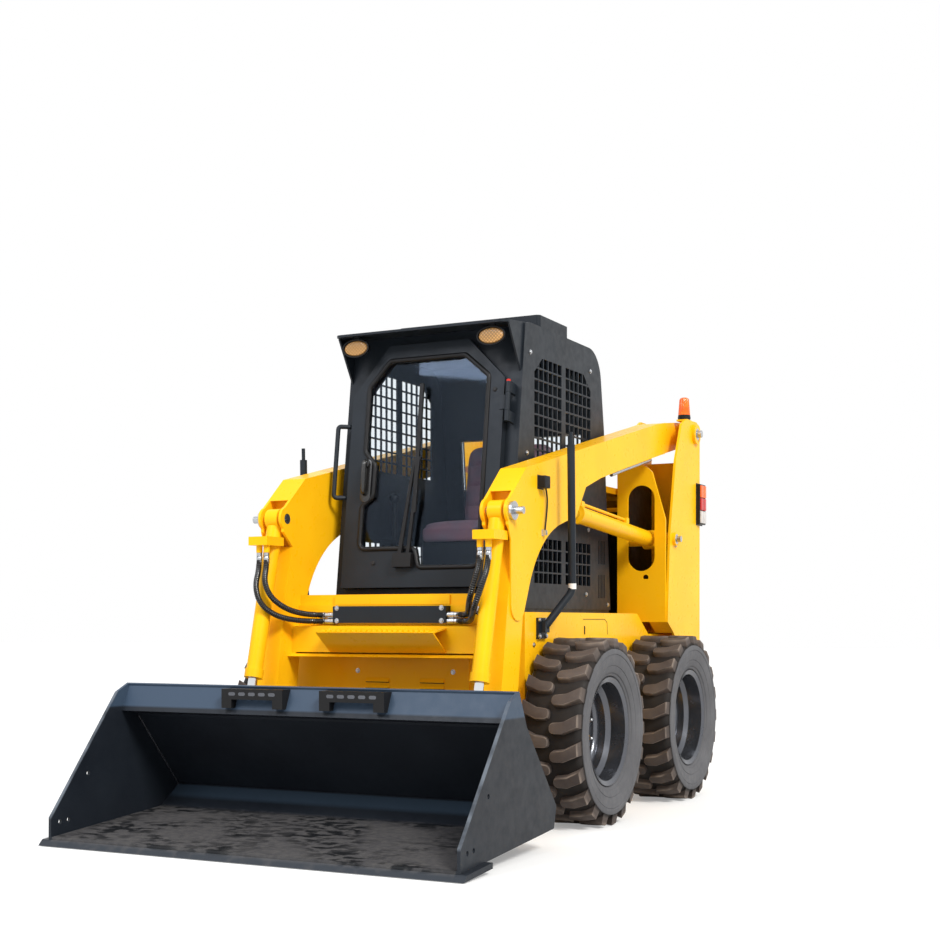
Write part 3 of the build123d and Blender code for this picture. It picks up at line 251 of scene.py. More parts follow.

# %% [markdown]
# Tyres are moulded from rubber with carbon black. The wall is grey, the lugs are brown with dried mud,
# and their edges are worn pale. The grooves and the lugs' lower flanks are near black as painted shade.
# The mesh carries a number called zone: 0 on the wall, 0.2 in the grooves and on the lower flanks,
# about 0.6 on a lug's top and 0.9 on its edges.

# %% Tyre rubber
tyre_rubber, tree, shader, spot = new_material("moulded_tyre_rubber")
zone = add(tree, "ShaderNodeAttribute", out="Fac", attribute_name="zone")
wall_cloud, groove_cloud, mud, rubs, patchy, grit = (
    add(tree, "ShaderNodeTexNoise", {"Vector": spot, "Scale": 1000 / size, "Detail": detail})
    for size, detail in ((166.7, 4.0), (50, 4.0), (111.1, 6.0), (71.43, 5.0), (25, 4.0), (5.556, 3.0))
)
wall = coats(tree, linear("#5F5F62"), (linear("#535356"), (wall_cloud, 0.3, 0.7)))
# Near-black rubber for the grooves and the lug flanks: painted shade.
groove_shade = coats(tree, linear("#1D1A19"), (linear("#2A2624"), (groove_cloud, 0.3, 0.7)))
top = coats(tree, linear("#443C39"), (linear("#5A514C"), (mud, 0.3, 0.7)))
fill(tree, shader, {
    "Base Color": coats(
        tree, wall,
        (groove_shade, (zone, 0.05, 0.15)),
        (top, (zone, 0.3, 0.5)),
        (linear("#82766C"), (zone, 0.7, 0.9), (rubs, 0.4, 0.65, 0.1, 1.0)),
    ),
    "Roughness": add(tree, "ShaderNodeMapRange", [patchy, 0.3, 0.7, 0.55, 0.8]),
    "Specular IOR Level": 0.2,
    "Normal": add(tree, "ShaderNodeBump", {"Height": grit, "Strength": 0.35, "Distance": 0.0008}),
})

# %% [markdown]
# The frame's nodes take their finish from the slot that the record names for them.

# %% Paint the frame
finish_of = {
    "yellow_paint": yellow, "cab_paint": cab_black, "bucket_paint": bucket_finish, "cast_iron": cast_grey,
    "rim_paint": rim_dark, "tyre_rubber": tyre_rubber, "hose_rubber": hose_rubber, "bright_steel": steel,
    "chrome_rod": chrome, "clear_glass": glass, "black_plastic": black_plastic, "amber_lens": amber,
    "red_lens": red, "seat_cover": seat_cover,
}
for part in frame["record"]["subparts"]:
    solid = frame["nodes"][part["node"]]
    solid.data.materials.clear()
    solid.data.materials.append(finish_of[part["material_slot"]])
frame["nodes"]["bucket_steps"].data.materials[0] = black_plastic

# %% [markdown]
# ## Camera
#
# The camera stands in front of the machine's left corner, at about the height of the tyres' tops.
# The lens shift keeps upright edges upright.

# %% Camera
lens = bpy.data.cameras.new("photo_camera")
lens.lens = 57.217
lens.sensor_width = 36.0
lens.shift_x = 0.0110
lens.shift_y = 0.1686
camera = bpy.data.objects.new("photo_camera", lens)
camera.location = (3.02747, -5.83988, 0.83298)
camera.rotation_euler = (radians(89.75), 0, radians(27.03))
bpy.context.scene.collection.objects.link(camera)
bpy.context.scene.camera = camera
print("camera at", [round(value, 2) for value in camera.location])

# %% [markdown]
# ## Pieces from meshes
#
# Every new piece is a mesh with its place in its vertices, riding on a body of the frame. Stations
# along the machine are counted from the middle of the wheelbase, as in the solids, so one function
# moves a station into the frame.


# %% Piece helpers
station = 0.399


def at(x, y, z):
    """Point from a width, a station and a height in metres."""
    return Vector((x, y + station, z))


def new_piece(name, mesh, body, nodes=()):
    """Object for a finished mesh, riding on a body and standing for the named nodes."""
    piece = bpy.data.objects.new(name, mesh)
    bpy.context.scene.collection.objects.link(piece)
    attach(piece, body)
    if nodes:
        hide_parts(*nodes)
    return piece


def to_mesh(form, name, material):
    """Mesh from a bmesh with merged doubles, outward normals, soft shading and one material."""
    bmesh.ops.remove_doubles(form, verts=form.verts, dist=1e-6)
    bmesh.ops.recalc_face_normals(form, faces=form.faces)
    mesh = bpy.data.meshes.new(name)
    form.to_mesh(mesh)
    form.free()
    mesh.materials.append(material)
    mesh.shade_smooth()
    mesh.set_sharp_from_angle(angle=radians(32))
    return mesh


def skin(form, loops):
    """Faces between loops of points that follow each other; a single point closes an end."""
    loops = [[form.verts.new(point) for point in loop] for loop in loops]
    count = max(len(loop) for loop in loops)
    for low, high in zip(loops, loops[1:]):
        for i in range(count):
            j = (i + 1) % count
            corners = [low[i % len(low)], low[j % len(low)], high[j % len(high)], high[i % len(high)]]
            form.faces.new(dict.fromkeys(corners))


def lathe(form, profile, centre, axis, segments, flutes=(0, 0.0)):
    """Turn a profile of distances along an axis and radii, with even flutes if wanted."""
    axis = Vector(axis).normalized()
    across = axis.orthogonal().normalized()
    beside = axis.cross(across)
    loops = []
    for along, radius in profile:
        loop = []
        for i in range(segments if radius else 1):
            turn = tau * i / segments
            reach = radius + flutes[1] * cos(flutes[0] * turn) if radius else 0.0
            loop.append(Vector(centre) + axis * along + (across * cos(turn) + beside * sin(turn)) * reach)
        loops.append(loop)
    skin(form, loops)


def prism(form, base, sweep):
    """Closed prism on a loop of points, swept along a vector."""
    low = [form.verts.new(point) for point in base]
    high = [form.verts.new(Vector(point) + Vector(sweep)) for point in base]
    form.faces.new(low)
    form.faces.new(high)
    for i in range(len(low)):
        j = (i + 1) % len(low)
        form.faces.new((low[i], low[j], high[j], high[i]))


def soften(form, width, segments=2):
    """Bevel every edge of a form that is a real corner."""
    form.normal_update()
    inner = [edge for edge in form.edges if len(edge.link_faces) == 2]
    edges = [edge for edge in inner if edge.calc_face_angle(0) > radians(25)]
    bmesh.ops.bevel(form, geom=edges, offset=width, segments=segments, affect="EDGES", profile=0.7)


# %% [markdown]
# ## Geometry trees
#
# Three trees make everything that repeats. One sets copies of a shape round a wheel, one sets copies
# on listed points along a facing, and one sweeps a round bead along lines with rounded corners. A
# helper runs a tree on a mesh and hands back the result as a plain mesh.

# %% Tree helpers
shapes = []


def new_tree(name, inputs):
    """Geometry tree with a geometry input, more named inputs and a geometry output."""
    tree = bpy.data.node_groups.new(name, "GeometryNodeTree")
    tree.interface.new_socket("Geometry", in_out="INPUT", socket_type="NodeSocketGeometry")
    for label, kind in inputs.items():
        tree.interface.new_socket(label, in_out="INPUT", socket_type="NodeSocket" + kind)
    tree.interface.new_socket("Geometry", in_out="OUTPUT", socket_type="NodeSocketGeometry")
    return tree, add(tree, "NodeGroupInput", out=None).outputs


def close_tree(tree, geometry, finish):
    """End a tree: realize the copies and set their material."""
    real = add(tree, "GeometryNodeRealizeInstances", [geometry])
    done = add(tree, "GeometryNodeSetMaterial", {"Geometry": real, "Material": finish})
    add(tree, "NodeGroupOutput", [done], out=None)


def run_tree(name, mesh, tree, values):
    """Run a tree on a mesh with named values and return a plain mesh."""
    worker = bpy.data.objects.new(name, mesh)
    bpy.context.scene.collection.objects.link(worker)
    modifier = worker.modifiers.new("shape", "NODES")
    modifier.node_group = tree
    for item in tree.interface.items_tree:
        if item.in_out == "INPUT" and item.name in values:
            modifier[item.identifier] = values[item.name]
    worker.update_tag()
    bpy.context.view_layer.update()
    evaluated = worker.evaluated_get(bpy.context.evaluated_depsgraph_get())
    result = bpy.data.meshes.new_from_object(evaluated)
    result.name = name
    bpy.data.objects.remove(worker)
    return result


def pattern_shape(name, mesh):
    """Shape that a tree copies; it is deleted when the scene is dressed."""
    shape = bpy.data.objects.new(name, mesh)
    bpy.context.scene.collection.objects.link(shape)
    shapes.append(shape)
    return shape


# %% Ring tree
ring_tree, given = new_tree("lug_ring", {
    "Near Lug": "Object", "Far Lug": "Object", "Count": "Int", "Start": "Float", "Finish": "Material",
})
joined = add(ring_tree, "GeometryNodeJoinGeometry", [given["Geometry"]], out=None)
step = add(ring_tree, "ShaderNodeMath", [tau, given["Count"]], operation="DIVIDE")
for label, stagger in (("Near Lug", 0.0), ("Far Lug", 0.5)):
    spots = add(ring_tree, "GeometryNodeMeshLine", {"Count": given["Count"], "Offset": (0, 0, 0)})
    index = add(ring_tree, "GeometryNodeInputIndex")
    order = add(ring_tree, "ShaderNodeMath", [index, stagger], operation="ADD")
    swept = add(ring_tree, "ShaderNodeMath", [order, step], operation="MULTIPLY")
    turn = add(ring_tree, "ShaderNodeMath", [swept, given["Start"]], operation="ADD")
    tilt = add(ring_tree, "ShaderNodeCombineXYZ", {"X": turn})
    shape = add(ring_tree, "GeometryNodeObjectInfo", {
        "Object": given[label], "As Instance": True,
    }, out="Geometry")
    row = add(ring_tree, "GeometryNodeInstanceOnPoints", {
        "Points": spots, "Instance": shape, "Rotation": tilt,
    })
    ring_tree.links.new(row, joined.inputs[0])
close_tree(ring_tree, joined.outputs[0], given["Finish"])

# %% Stud tree
stud_tree, given = new_tree("studs", {"Shape": "Object", "Finish": "Material"})
facing = add(stud_tree, "GeometryNodeInputNamedAttribute", {"Name": "facing"}, data_type="FLOAT_VECTOR")
turned = add(stud_tree, "FunctionNodeAlignRotationToVector", {"Vector": facing}, axis="Z")
shape = add(stud_tree, "GeometryNodeObjectInfo", {
    "Object": given["Shape"], "As Instance": True,
}, out="Geometry")
copies = add(stud_tree, "GeometryNodeInstanceOnPoints", {
    "Points": given["Geometry"], "Instance": shape, "Rotation": turned,
})
close_tree(stud_tree, copies, given["Finish"])

# %% Bead tree
bead_tree, given = new_tree("bead", {"Radius": "Float", "Corner": "Float", "Finish": "Material"})
line = add(bead_tree, "GeometryNodeMeshToCurve", [given["Geometry"]])
round_line = add(bead_tree, "GeometryNodeFilletCurve", {
    "Curve": line, "Count": 6, "Radius": given["Corner"], "Limit Radius": True,
}, mode="POLY")
section = add(bead_tree, "GeometryNodeCurvePrimitiveCircle", {
    "Resolution": 12, "Radius": given["Radius"],
})
tube = add(bead_tree, "GeometryNodeCurveToMesh", {
    "Curve": round_line, "Profile Curve": section, "Fill Caps": True,
})
soft_tube = add(bead_tree, "GeometryNodeSetShadeSmooth", [tube])
close_tree(bead_tree, soft_tube, given["Finish"])
print("geometry trees:", len(bpy.data.node_groups))


# %% Studs and beads
def studs(name, spots, shape, material, body):
    """Copies of a shape on places with facings, as one piece."""
    mesh = bpy.data.meshes.new(name)
    mesh.from_pydata([tuple(spot) for spot, facing in spots], [], [])
    facings = mesh.attributes.new("facing", "FLOAT_VECTOR", "POINT")
    for item, (spot, facing) in zip(facings.data, spots):
        item.vector = facing
    values = {"Shape": shape, "Finish": material}
    return new_piece(name, run_tree(name, mesh, stud_tree, values), body)


def bead(name, lines, material, body, radius, corner):
    """Round bead along open or closed lines of points, as one piece."""
    mesh = bpy.data.meshes.new(name)
    points, edges = [], []
    for line, closed in lines:
        first = len(points)
        points += [tuple(point) for point in line]
        edges += [(i, i + 1) for i in range(first, len(points) - 1)]
        if closed:
            edges.append((len(points) - 1, first))
    mesh.from_pydata(points, edges, [])
    values = {"Radius": radius, "Corner": corner, "Finish": material}
    return new_piece(name, run_tree(name, mesh, bead_tree, values), body)


# %% [markdown]
# ## Hoses
#
# Each tilt hose runs from a port on the cylinder to a fitting beside the hose cover. Its points are
# the corners of its route; a smooth curve passes near them. A coiled guard covers the rubber, and a
# crimped steel sleeve holds each end. The guard's turns are small rings, set along the smooth curve by
# the stud tree.


# %% Tilt hoses
def hose_curve(name, points, diameter, material):
    """Smooth round tube whose control points are the corners of a route."""
    data = bpy.data.curves.new(name, "CURVE")
    data.dimensions = "3D"
    line = data.splines.new("NURBS")
    line.points.add(len(points) - 1)
    for point, spot in zip(line.points, points):
        point.co = (*spot, 1.0)
    line.order_u = 3
    line.use_endpoint_u = True
    line.resolution_u = 10
    data.bevel_depth = diameter / 2
    data.bevel_resolution = 5
    data.use_fill_caps = True
    data.materials.append(material)
    tube = bpy.data.objects.new(name, data)
    bpy.context.scene.collection.objects.link(tube)
    return tube


def line_points(tube):
    """Points along a tube's smooth centre line."""
    data = tube.data.copy()
    data.bevel_depth = 0.0
    bare_line = bpy.data.objects.new("bare_line", data)
    bpy.context.scene.collection.objects.link(bare_line)
    bpy.context.view_layer.update()
    evaluated = bare_line.evaluated_get(bpy.context.evaluated_depsgraph_get())
    mesh = bpy.data.meshes.new_from_object(evaluated)
    points = [vert.co.copy() for vert in mesh.vertices]
    bpy.data.meshes.remove(mesh)
    bpy.data.objects.remove(bare_line)
    bpy.data.curves.remove(data)
    return points


def even_spots(points, pitch, margin):
    """Places and directions at an even pitch along a line, away from its ends."""
    spots = []
    walked = 0.0
    wanted = margin
    whole = sum((b - a).length for a, b in zip(points, points[1:]))
    for a, b in zip(points, points[1:]):
        run = (b - a).length
        while run and walked <= wanted < min(walked + run, whole - margin):
            spots.append((a.lerp(b, (wanted - walked) / run), (b - a).normalized()))
            wanted += pitch
        walked += run
    return spots


form = bmesh.new()
turn_profile = [
    (0.0034, 0.0106), (0.0018, 0.0122), (-0.0018, 0.0122), (-0.0034, 0.0106), (0.0034, 0.0106),
]
lathe(form, turn_profile, (0, 0, 0), (0, 0, 1), 12)
guard_turn = pattern_shape("guard_turn", to_mesh(form, "guard_turn", hose_rubber))
sleeve = [
    (0.0007, 0), (0.0007, 0.0118), (0.013, 0.0118), (0.015, 0.0105), (0.018, 0.0123), (0.030, 0.0123),
    (0.032, 0.0116), (0.034, 0.0123), (0.046, 0.0123), (0.048, 0.0112), (0.048, 0),
]
hose_diameter = 0.022
guard_pitch = 0.0085
guard_margin = 0.052
hose_top = 1.1197
hose_end = 0.2953
routes = {
    "inner": (0.465, [
        (0.492, -1.097, hose_top), (0.492, -1.097, 1.064), (0.486, -1.126, 1.000), (0.460, -1.118, 0.935),
        (0.424, -1.062, 0.888), (0.388, -0.990, 0.867), (0.345, -0.929, 0.862), (hose_end, -0.929, 0.862),
    ]),
    "outer": (0.525, [
        (0.528, -1.097, hose_top), (0.528, -1.097, 1.056), (0.522, -1.138, 0.980), (0.494, -1.142, 0.905),
        (0.452, -1.086, 0.856), (0.402, -1.002, 0.838), (0.348, -0.929, 0.836), (hose_end, -0.929, 0.836),
    ]),
}
for hand_name, hand in (("left", 1), ("right", -1)):
    for route_name, (length, corners) in routes.items():
        route = [at(hand * x, y, z) for x, y, z in corners]
        label = f"{hand_name}_{route_name}"
        hose = hose_curve(f"tilt_hose_{label}", route, hose_diameter, hose_rubber)
        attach(hose, "lift_arm")
        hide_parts(f"hose_{hand_name}_{route_name}")
        turns = even_spots(line_points(hose), guard_pitch, guard_margin)
        guard = studs(f"hose_guard_{label}", turns, guard_turn, guard_black, "lift_arm")
        form = bmesh.new()
        lathe(form, sleeve, route[0], (0, 0, -1), 16)
        lathe(form, sleeve, route[-1], (hand, 0, 0), 16)
        sleeve_mesh = to_mesh(form, f"hose_sleeves_{label}", steel)
        sleeves = new_piece(f"hose_sleeves_{label}", sleeve_mesh, "lift_arm")
print("routes on each side:", len(routes), "turns on the last guard:", len(turns))

# %% [markdown]
# A small connector sits on the left arm: a moulded case with a collar, and a thin lead that hangs from
# it to a steel clip. The lead is a smooth curve near the corners of its route, like the hoses.

# %% Connector and its lead
arm_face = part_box("connector_box")[0][0]
arm_seat = arm_face + 0.0003
lead_route = [at(arm_face + 0.009, y, z) for y, z in (
    (-0.692, 1.395), (-0.664, 1.352), (-0.668, 1.280), (-0.690, 1.200),
)]
form = bmesh.new()
case = [(-0.742, 1.372), (-0.690, 1.372), (-0.690, 1.422), (-0.742, 1.422)]
prism(form, [at(arm_seat, y, z) for y, z in case], (0.0335, 0, 0))
soften(form, 0.004)
collar = [(-0.005, 0), (-0.005, 0.0085), (0.010, 0.0085), (0.012, 0.0062), (0.020, 0.0062), (0.020, 0)]
lathe(form, collar, lead_route[0], lead_route[1] - lead_route[0], 18)
case_mesh = to_mesh(form, "connector_case", black_plastic)
new_piece("connector_case", case_mesh, "lift_arm", ["connector_box"])
form = bmesh.new()
clip = [(-0.700, 1.184), (-0.682, 1.184), (-0.682, 1.205), (-0.700, 1.205)]
prism(form, [at(arm_seat, y, z) for y, z in clip], (0.0175, 0, 0))
soften(form, 0.003)
lead_clip = new_piece("lead_clip", to_mesh(form, "lead_clip", steel), "lift_arm")
lead_diameter = 0.007
lead = hose_curve("connector_lead", lead_route, lead_diameter, hose_rubber)
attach(lead, "lift_arm")
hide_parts("connector_box")
print("lead points:", len(lead_route))

# %% [markdown]
# ## Tyres
#
# A loader's tyre has a stout carcass and two rows of bent lugs that interleave like a zip. The
# carcass is turned from a profile with the wall's ring steps. One lug is drawn as an outline with a
# rounded tip, swept at its outer half, with its foot running down the shoulder. The ring tree copies
# it round the wheel.

# %% Tyre carcass
wheel_radius = 0.385
groove_radius = 0.3385
lug_crest = 0.3827
wall_profile = [
    (0.0985, 0.2112), (0.1000, 0.2250), (0.1090, 0.2300), (0.1120, 0.2390), (0.1165, 0.2420),
    (0.1200, 0.2500), (0.1230, 0.2660), (0.1212, 0.2685), (0.1240, 0.2710), (0.1285, 0.2930),
    (0.1300, 0.3120), (0.1284, 0.3145), (0.1316, 0.3175), (0.1316, 0.3330), (0.1290, 0.3375),
    (0.1225, 0.3390), (0.1170, 0.3470), (0.1080, 0.3530), (0.0950, 0.3565), (0.0500, 0.3580), (0.0, 0.3585),
]
carcass_profile = [(-x, r) for x, r in wall_profile] + wall_profile[-2::-1]
form = bmesh.new()
lathe(form, carcass_profile + carcass_profile[:1], (0, 0, 0), (1, 0, 0), 84)
zones = form.verts.layers.float.new("zone")
# The tread floor beyond the groove radius gets zone 0.2, the painted groove shade.
for vert in form.verts:
    vert[zones] = 0.2 if vert.co.yz.length > groove_radius else 0.0
carcass = to_mesh(form, "carcass", tyre_rubber)
print("carcass faces:", len(carcass.polygons))


# %% One lug
def lug_mesh(name, row):
    """Lug of one row: outline across and along the tread, swept down to the carcass."""
    outline = [
        (0.003, -0.022), (0.007, -0.031), (0.016, -0.0365), (0.058, -0.037), (0.1200, -0.010),
        (0.1200, 0.0400), (0.062, 0.011), (0.016, 0.005), (0.007, 0.000), (0.003, -0.010),
    ]
    shoulder = 0.1
    flare = 0.004
    form = bmesh.new()
    top = [form.verts.new((row * x, y, lug_crest)) for x, y in outline]
    foot = []
    for x, y in outline:
        middle, reach, height = (0.015, 0.1275, 0.336) if x > shoulder else (-0.016, x, 0.346)
        wider = flare if y > middle else -flare
        foot.append(form.verts.new((row * reach, y + wider, height)))
    form.faces.new(top)
    form.faces.new(foot)
    for i in range(len(top)):
        j = (i + 1) % len(top)
        form.faces.new((top[i], top[j], foot[j], foot[i]))
    bmesh.ops.recalc_face_normals(form, faces=form.faces)
    crest = set(top)
    rim = [edge for edge in form.edges if crest.issuperset(edge.verts)]
    bmesh.ops.bevel(form, geom=rim, offset=0.0045, segments=2, affect="EDGES", profile=0.6)
    zones = form.verts.layers.float.new("zone")
    for vert in form.verts:
        depth = lug_crest - vert.co.z
        # Flanks more than 12 mm below the crest get zone 0.2, the painted groove shade.
        vert[zones] = 0.62 if depth < 0.0003 else 0.9 if depth < 0.012 else 0.2
    return to_mesh(form, name, tyre_rubber)


near_lug = pattern_shape("near_lug", lug_mesh("near_lug", 1))
far_lug = pattern_shape("far_lug", lug_mesh("far_lug", -1))
print("lug faces:", len(near_lug.data.polygons))

# %% Four tyres
wheel_reach = 0.688
axle_station = 0.5175
lug_count = 21
wheels = {
    f"{end}_{side}": (hand, axle)
    for end, axle in (("front", -axle_station), ("rear", axle_station))
    for side, hand in (("left", 1), ("right", -1))
}
lug_start = radians(-174.63)
for wheel, (hand, axle) in wheels.items():
    near, far = (near_lug, far_lug) if hand > 0 else (far_lug, near_lug)
    tyre = run_tree(f"tread_{wheel}", carcass.copy(), ring_tree, {
        "Near Lug": near, "Far Lug": far, "Count": lug_count, "Start": lug_start, "Finish": tyre_rubber,
    })
    tyre.transform(Matrix.Translation(at(hand * wheel_reach, axle, wheel_radius)))
    new_piece(f"tread_{wheel}", tyre, f"wheel_{wheel}", [f"tyre_{wheel}"])
print("tyre faces:", len(tyre.polygons))

# %% [markdown]
# ## Bolts
#
# Eight domed studs hold each wheel, every one with a yellow nut under it. Cap screws hold the panels.
# All are turned shapes that the stud tree copies.

# %% Bolt shapes
bolt_shapes = {
    "wheel_nut": (yellow, [
        (20, [(0, 0), (0, 0.018), (0.003, 0.018), (0.003, 0)]),
        (6, [(0.001, 0), (0.001, 0.0135), (0.014, 0.0135), (0.016, 0.0115), (0.016, 0)]),
    ]),
    "wheel_stud": (steel, [
        (14, [(0.008, 0), (0.008, 0.0085), (0.024, 0.0085), (0.030, 0.007), (0.033, 0.004), (0.034, 0)]),
    ]),
    "cap_screw": (steel, [
        (18, [(-0.001, 0), (-0.001, 0.0105), (0.0016, 0.0105), (0.0016, 0)]),
        (6, [(0, 0), (0, 0.0078), (0.0052, 0.0078), (0.0062, 0.0066), (0.0062, 0)]),
    ]),
}
bolts = {}
for name, (material, turned_parts) in bolt_shapes.items():
    form = bmesh.new()
    for segments, profile in turned_parts:
        lathe(form, profile, (0, 0, 0), (0, 0, 1), segments)
    bolts[name] = pattern_shape(name, to_mesh(form, name, material))
print("bolt shapes:", len(bolts))

# %% Bolts on the wheels
disc_face = 0.652
bolt_circle = 0.102
bolt_count = 8
for wheel, (hand, axle) in wheels.items():
    circle = []
    for i in range(bolt_count):
        turn = tau * (i + 0.5) / bolt_count
        spot = at(hand * disc_face, axle + bolt_circle * cos(turn), wheel_radius + bolt_circle * sin(turn))
        circle.append((spot, (hand, 0, 0)))
    studs(f"wheel_nuts_{wheel}", circle, bolts["wheel_nut"], yellow, f"wheel_{wheel}")
    studs(f"wheel_studs_{wheel}", circle, bolts["wheel_stud"], steel, f"wheel_{wheel}")
print("wheel bolts:", bolt_count * len(wheels))

# %% Screws on the chassis and the arms
cab_screws = [
    (-0.043, 1.246), (0.180, 1.258), (0.153, 0.960), (0.425, 0.915), (0.202, 1.993), (-0.470, 1.975),
    (-0.505, 1.545),
]
tower_screws = [(0.802, 1.248), (0.773, 1.209)]
bracket_screws = [(y, z) for y in (-0.681, -0.615) for z in (0.775, 0.841)]
rail_screws = [(-0.713, 0.740)]
side_faces = [(0.420, cab_screws), (0.640, tower_screws), (0.557, bracket_screws), (0.545, rail_screws)]
chassis_screws = []
for hand in (-1, 1):
    for face, spots in side_faces:
        chassis_screws += [(at(hand * face, y, z), (hand, 0, 0)) for y, z in spots]
    chassis_screws.append((at(hand * 0.2265, -0.808, 0.628), (0, -1, 0)))
studs("chassis_screws", chassis_screws, bolts["cap_screw"], steel, "chassis")
cover_spots = [(hand * 0.2452, z) for hand in (-1, 1) for z in (0.838, 0.890)]
cover_screws = [(at(x, -0.946, z), (0, -1, 0)) for x, z in cover_spots]
studs("cover_screws", cover_screws, bolts["cap_screw"], steel, "lift_arm")
print("screws:", len(chassis_screws) + len(cover_screws))

# %% [markdown]
# ## Door
#
# The pane sits in a thick rubber gasket that follows its kinked outline. The door lies on a raked
# plane, so its points are given along the door, up it and out from it.


# %% Door gasket
def on_door(across, up, out):
    """Point on the raked door plane, in metres."""
    lean = radians(7.56)
    foot_station = -0.682
    foot_height = 0.873
    along = foot_station + up * sin(lean) - out * cos(lean)
    return at(across, along, foot_height + up * cos(lean) + out * sin(lean))


door_top = 1.1661
grip = 0.5701
pane = [
    (-0.292, 0.270), (-0.020, 0.270), (0.0, 0.186), (0.286, 0.186), (0.286, door_top - 0.166),
    (0.170, door_top - 0.068), (-0.196, door_top - 0.068), (-0.292, door_top - 0.181), (-0.292, grip + 0.130),
    (-0.240, grip + 0.070), (-0.240, grip - 0.070), (-0.292, grip - 0.110),
]
gasket = [on_door(across, rise, 0.041) for across, rise in pane]
bead("door_gasket", [(gasket, True)], black_plastic, "door", radius=0.011, corner=0.03)

# %% Door handle
out = on_door(0, 0, 1) - on_door(0, 0, 0)
handle_across = -0.275
plate_face = 0.0433
plate_round = 0.026
plate_half = 0.069
lock = on_door(handle_across, grip + 0.073, plate_face)
plate = []
for i in range(24):
    turn = tau * i / 24
    rise = plate_half if sin(turn) >= 0 else -plate_half
    rise += plate_round * sin(turn)
    plate.append(on_door(handle_across + plate_round * cos(turn), grip + rise, plate_face))
form = bmesh.new()
prism(form, plate, out * 0.010)
soften(form, 0.002)
lathe(form, [(0.008, 0), (0.008, 0.016), (0.020, 0.016), (0.022, 0.013), (0.022, 0)], lock, out, 24)
plate_mesh = to_mesh(form, "handle_plate", guard_black)
new_piece("handle_plate", plate_mesh, "door", ["door_handle"])
pull = [(-0.058, 0.050), (-0.062, 0.072), (0.082, 0.076), (0.086, 0.050)]
pull_line = [on_door(-0.276, grip + rise, lift) for rise, lift in pull]
bead("handle_pull", [(pull_line, False)], guard_black, "door", radius=0.0105, corner=0.02)
form = bmesh.new()
lathe(form, [(0.021, 0), (0.021, 0.010), (0.0245, 0.010), (0.0245, 0)], lock, out, 20)
new_piece("handle_lock", to_mesh(form, "handle_lock", steel), "door")
print("plate corners:", len(plate))

# %% Hinge caps and door screws
form = bmesh.new()
up = on_door(0, 1, 0) - on_door(0, 0, 0)
cap = [(-0.001, 0), (-0.001, 0.0102), (0.007, 0.0102), (0.010, 0.007), (0.010, 0)]
for height in (0.160, door_top - 0.326):
    lathe(form, cap, on_door(0.382, height + 0.122, 0.051), up, 20)
new_piece("hinge_caps", to_mesh(form, "hinge_caps", red_cap), "chassis")
screw_spots = [(-0.2145, 0.2085), (0.318, 0.150), (0.318, door_top - 0.230)]
door_screws = [(on_door(across, rise, 0.043), out) for across, rise in screw_spots]
studs("door_screws", door_screws, bolts["cap_screw"], cast_grey, "door")

# %% [markdown]
# ## Lamps
#
# Work lamps hang below the visor: an oval black shell with a warm patterned lens. Tail lamps carry
# two columns of amber, red and clear lenses. The beacon has a fluted amber dome on a black foot.

# %% Lamp lens
# Pressed glass over a warm reflector: a lattice of amber facets. The facet size is in millimetres.
lamp_lens, tree, shader, spot = new_material("pressed_lamp_glass")
facet_size = 10.526
turned = add(tree, "ShaderNodeMapping", {"Vector": spot, "Rotation": (0, radians(45), 0)})
cells = add(tree, "ShaderNodeTexVoronoi", {
    "Vector": turned, "Scale": 1000 / facet_size, "Randomness": 0.0,
}, feature="DISTANCE_TO_EDGE")
fill(tree, shader, {
    "Base Color": coats(tree, linear("#7E5830"), (linear("#D0A062"), (cells, 0.0, 0.25))),
    "Roughness": add(tree, "ShaderNodeMapRange", [cells, 0.0, 0.3, 0.35, 0.12]),
    "Specular IOR Level": 0.4,
    "Normal": add(tree, "ShaderNodeBump", {"Height": cells, "Strength": 0.6, "Distance": 0.002}),
})


# %% Work lamps
def oval(centre, depth, wide, high):
    """Loop of an oval that faces the front; a zero width gives its middle."""
    count = 40 if wide else 1
    turns = [tau * i / count for i in range(count)]
    return [centre + Vector((wide * cos(turn), depth, high * sin(turn))) for turn in turns]


shell_rings = [
    (0.040, 0, 0), (0.040, 0.044, 0.026), (0.030, 0.056, 0.033), (0.012, 0.064, 0.0385), (0.0, 0.066, 0.040),
    (-0.0005, 0.063, 0.037), (0.001, 0.060, 0.0345), (0.008, 0.058, 0.033), (0.008, 0, 0),
]
lens_rings = [
    (0.007, 0, 0), (0.007, 0.0585, 0.0332), (0.001, 0.052, 0.029), (-0.0005, 0.03, 0.017), (-0.0005, 0, 0),
]
stem = [(-0.012, 0.010, 0.036), (0.012, 0.010, 0.036), (0.012, 0.026, 0.036), (-0.012, 0.026, 0.036)]
shells = bmesh.new()
lenses = bmesh.new()
for hand in (-1, 1):
    centre = at(hand * 0.326, -0.662, 2.021)
    skin(shells, [oval(centre, *ring) for ring in shell_rings])
    skin(lenses, [oval(centre, *ring) for ring in lens_rings])
    prism(shells, [centre + Vector(spot) for spot in stem], (0, 0, 0.017))
shell_mesh = to_mesh(shells, "lamp_shells", black_plastic)
new_piece("lamp_shells", shell_mesh, "chassis", ["work_lamps"])
new_piece("lamp_lenses", to_mesh(lenses, "lamp_lenses", lamp_lens), "chassis")

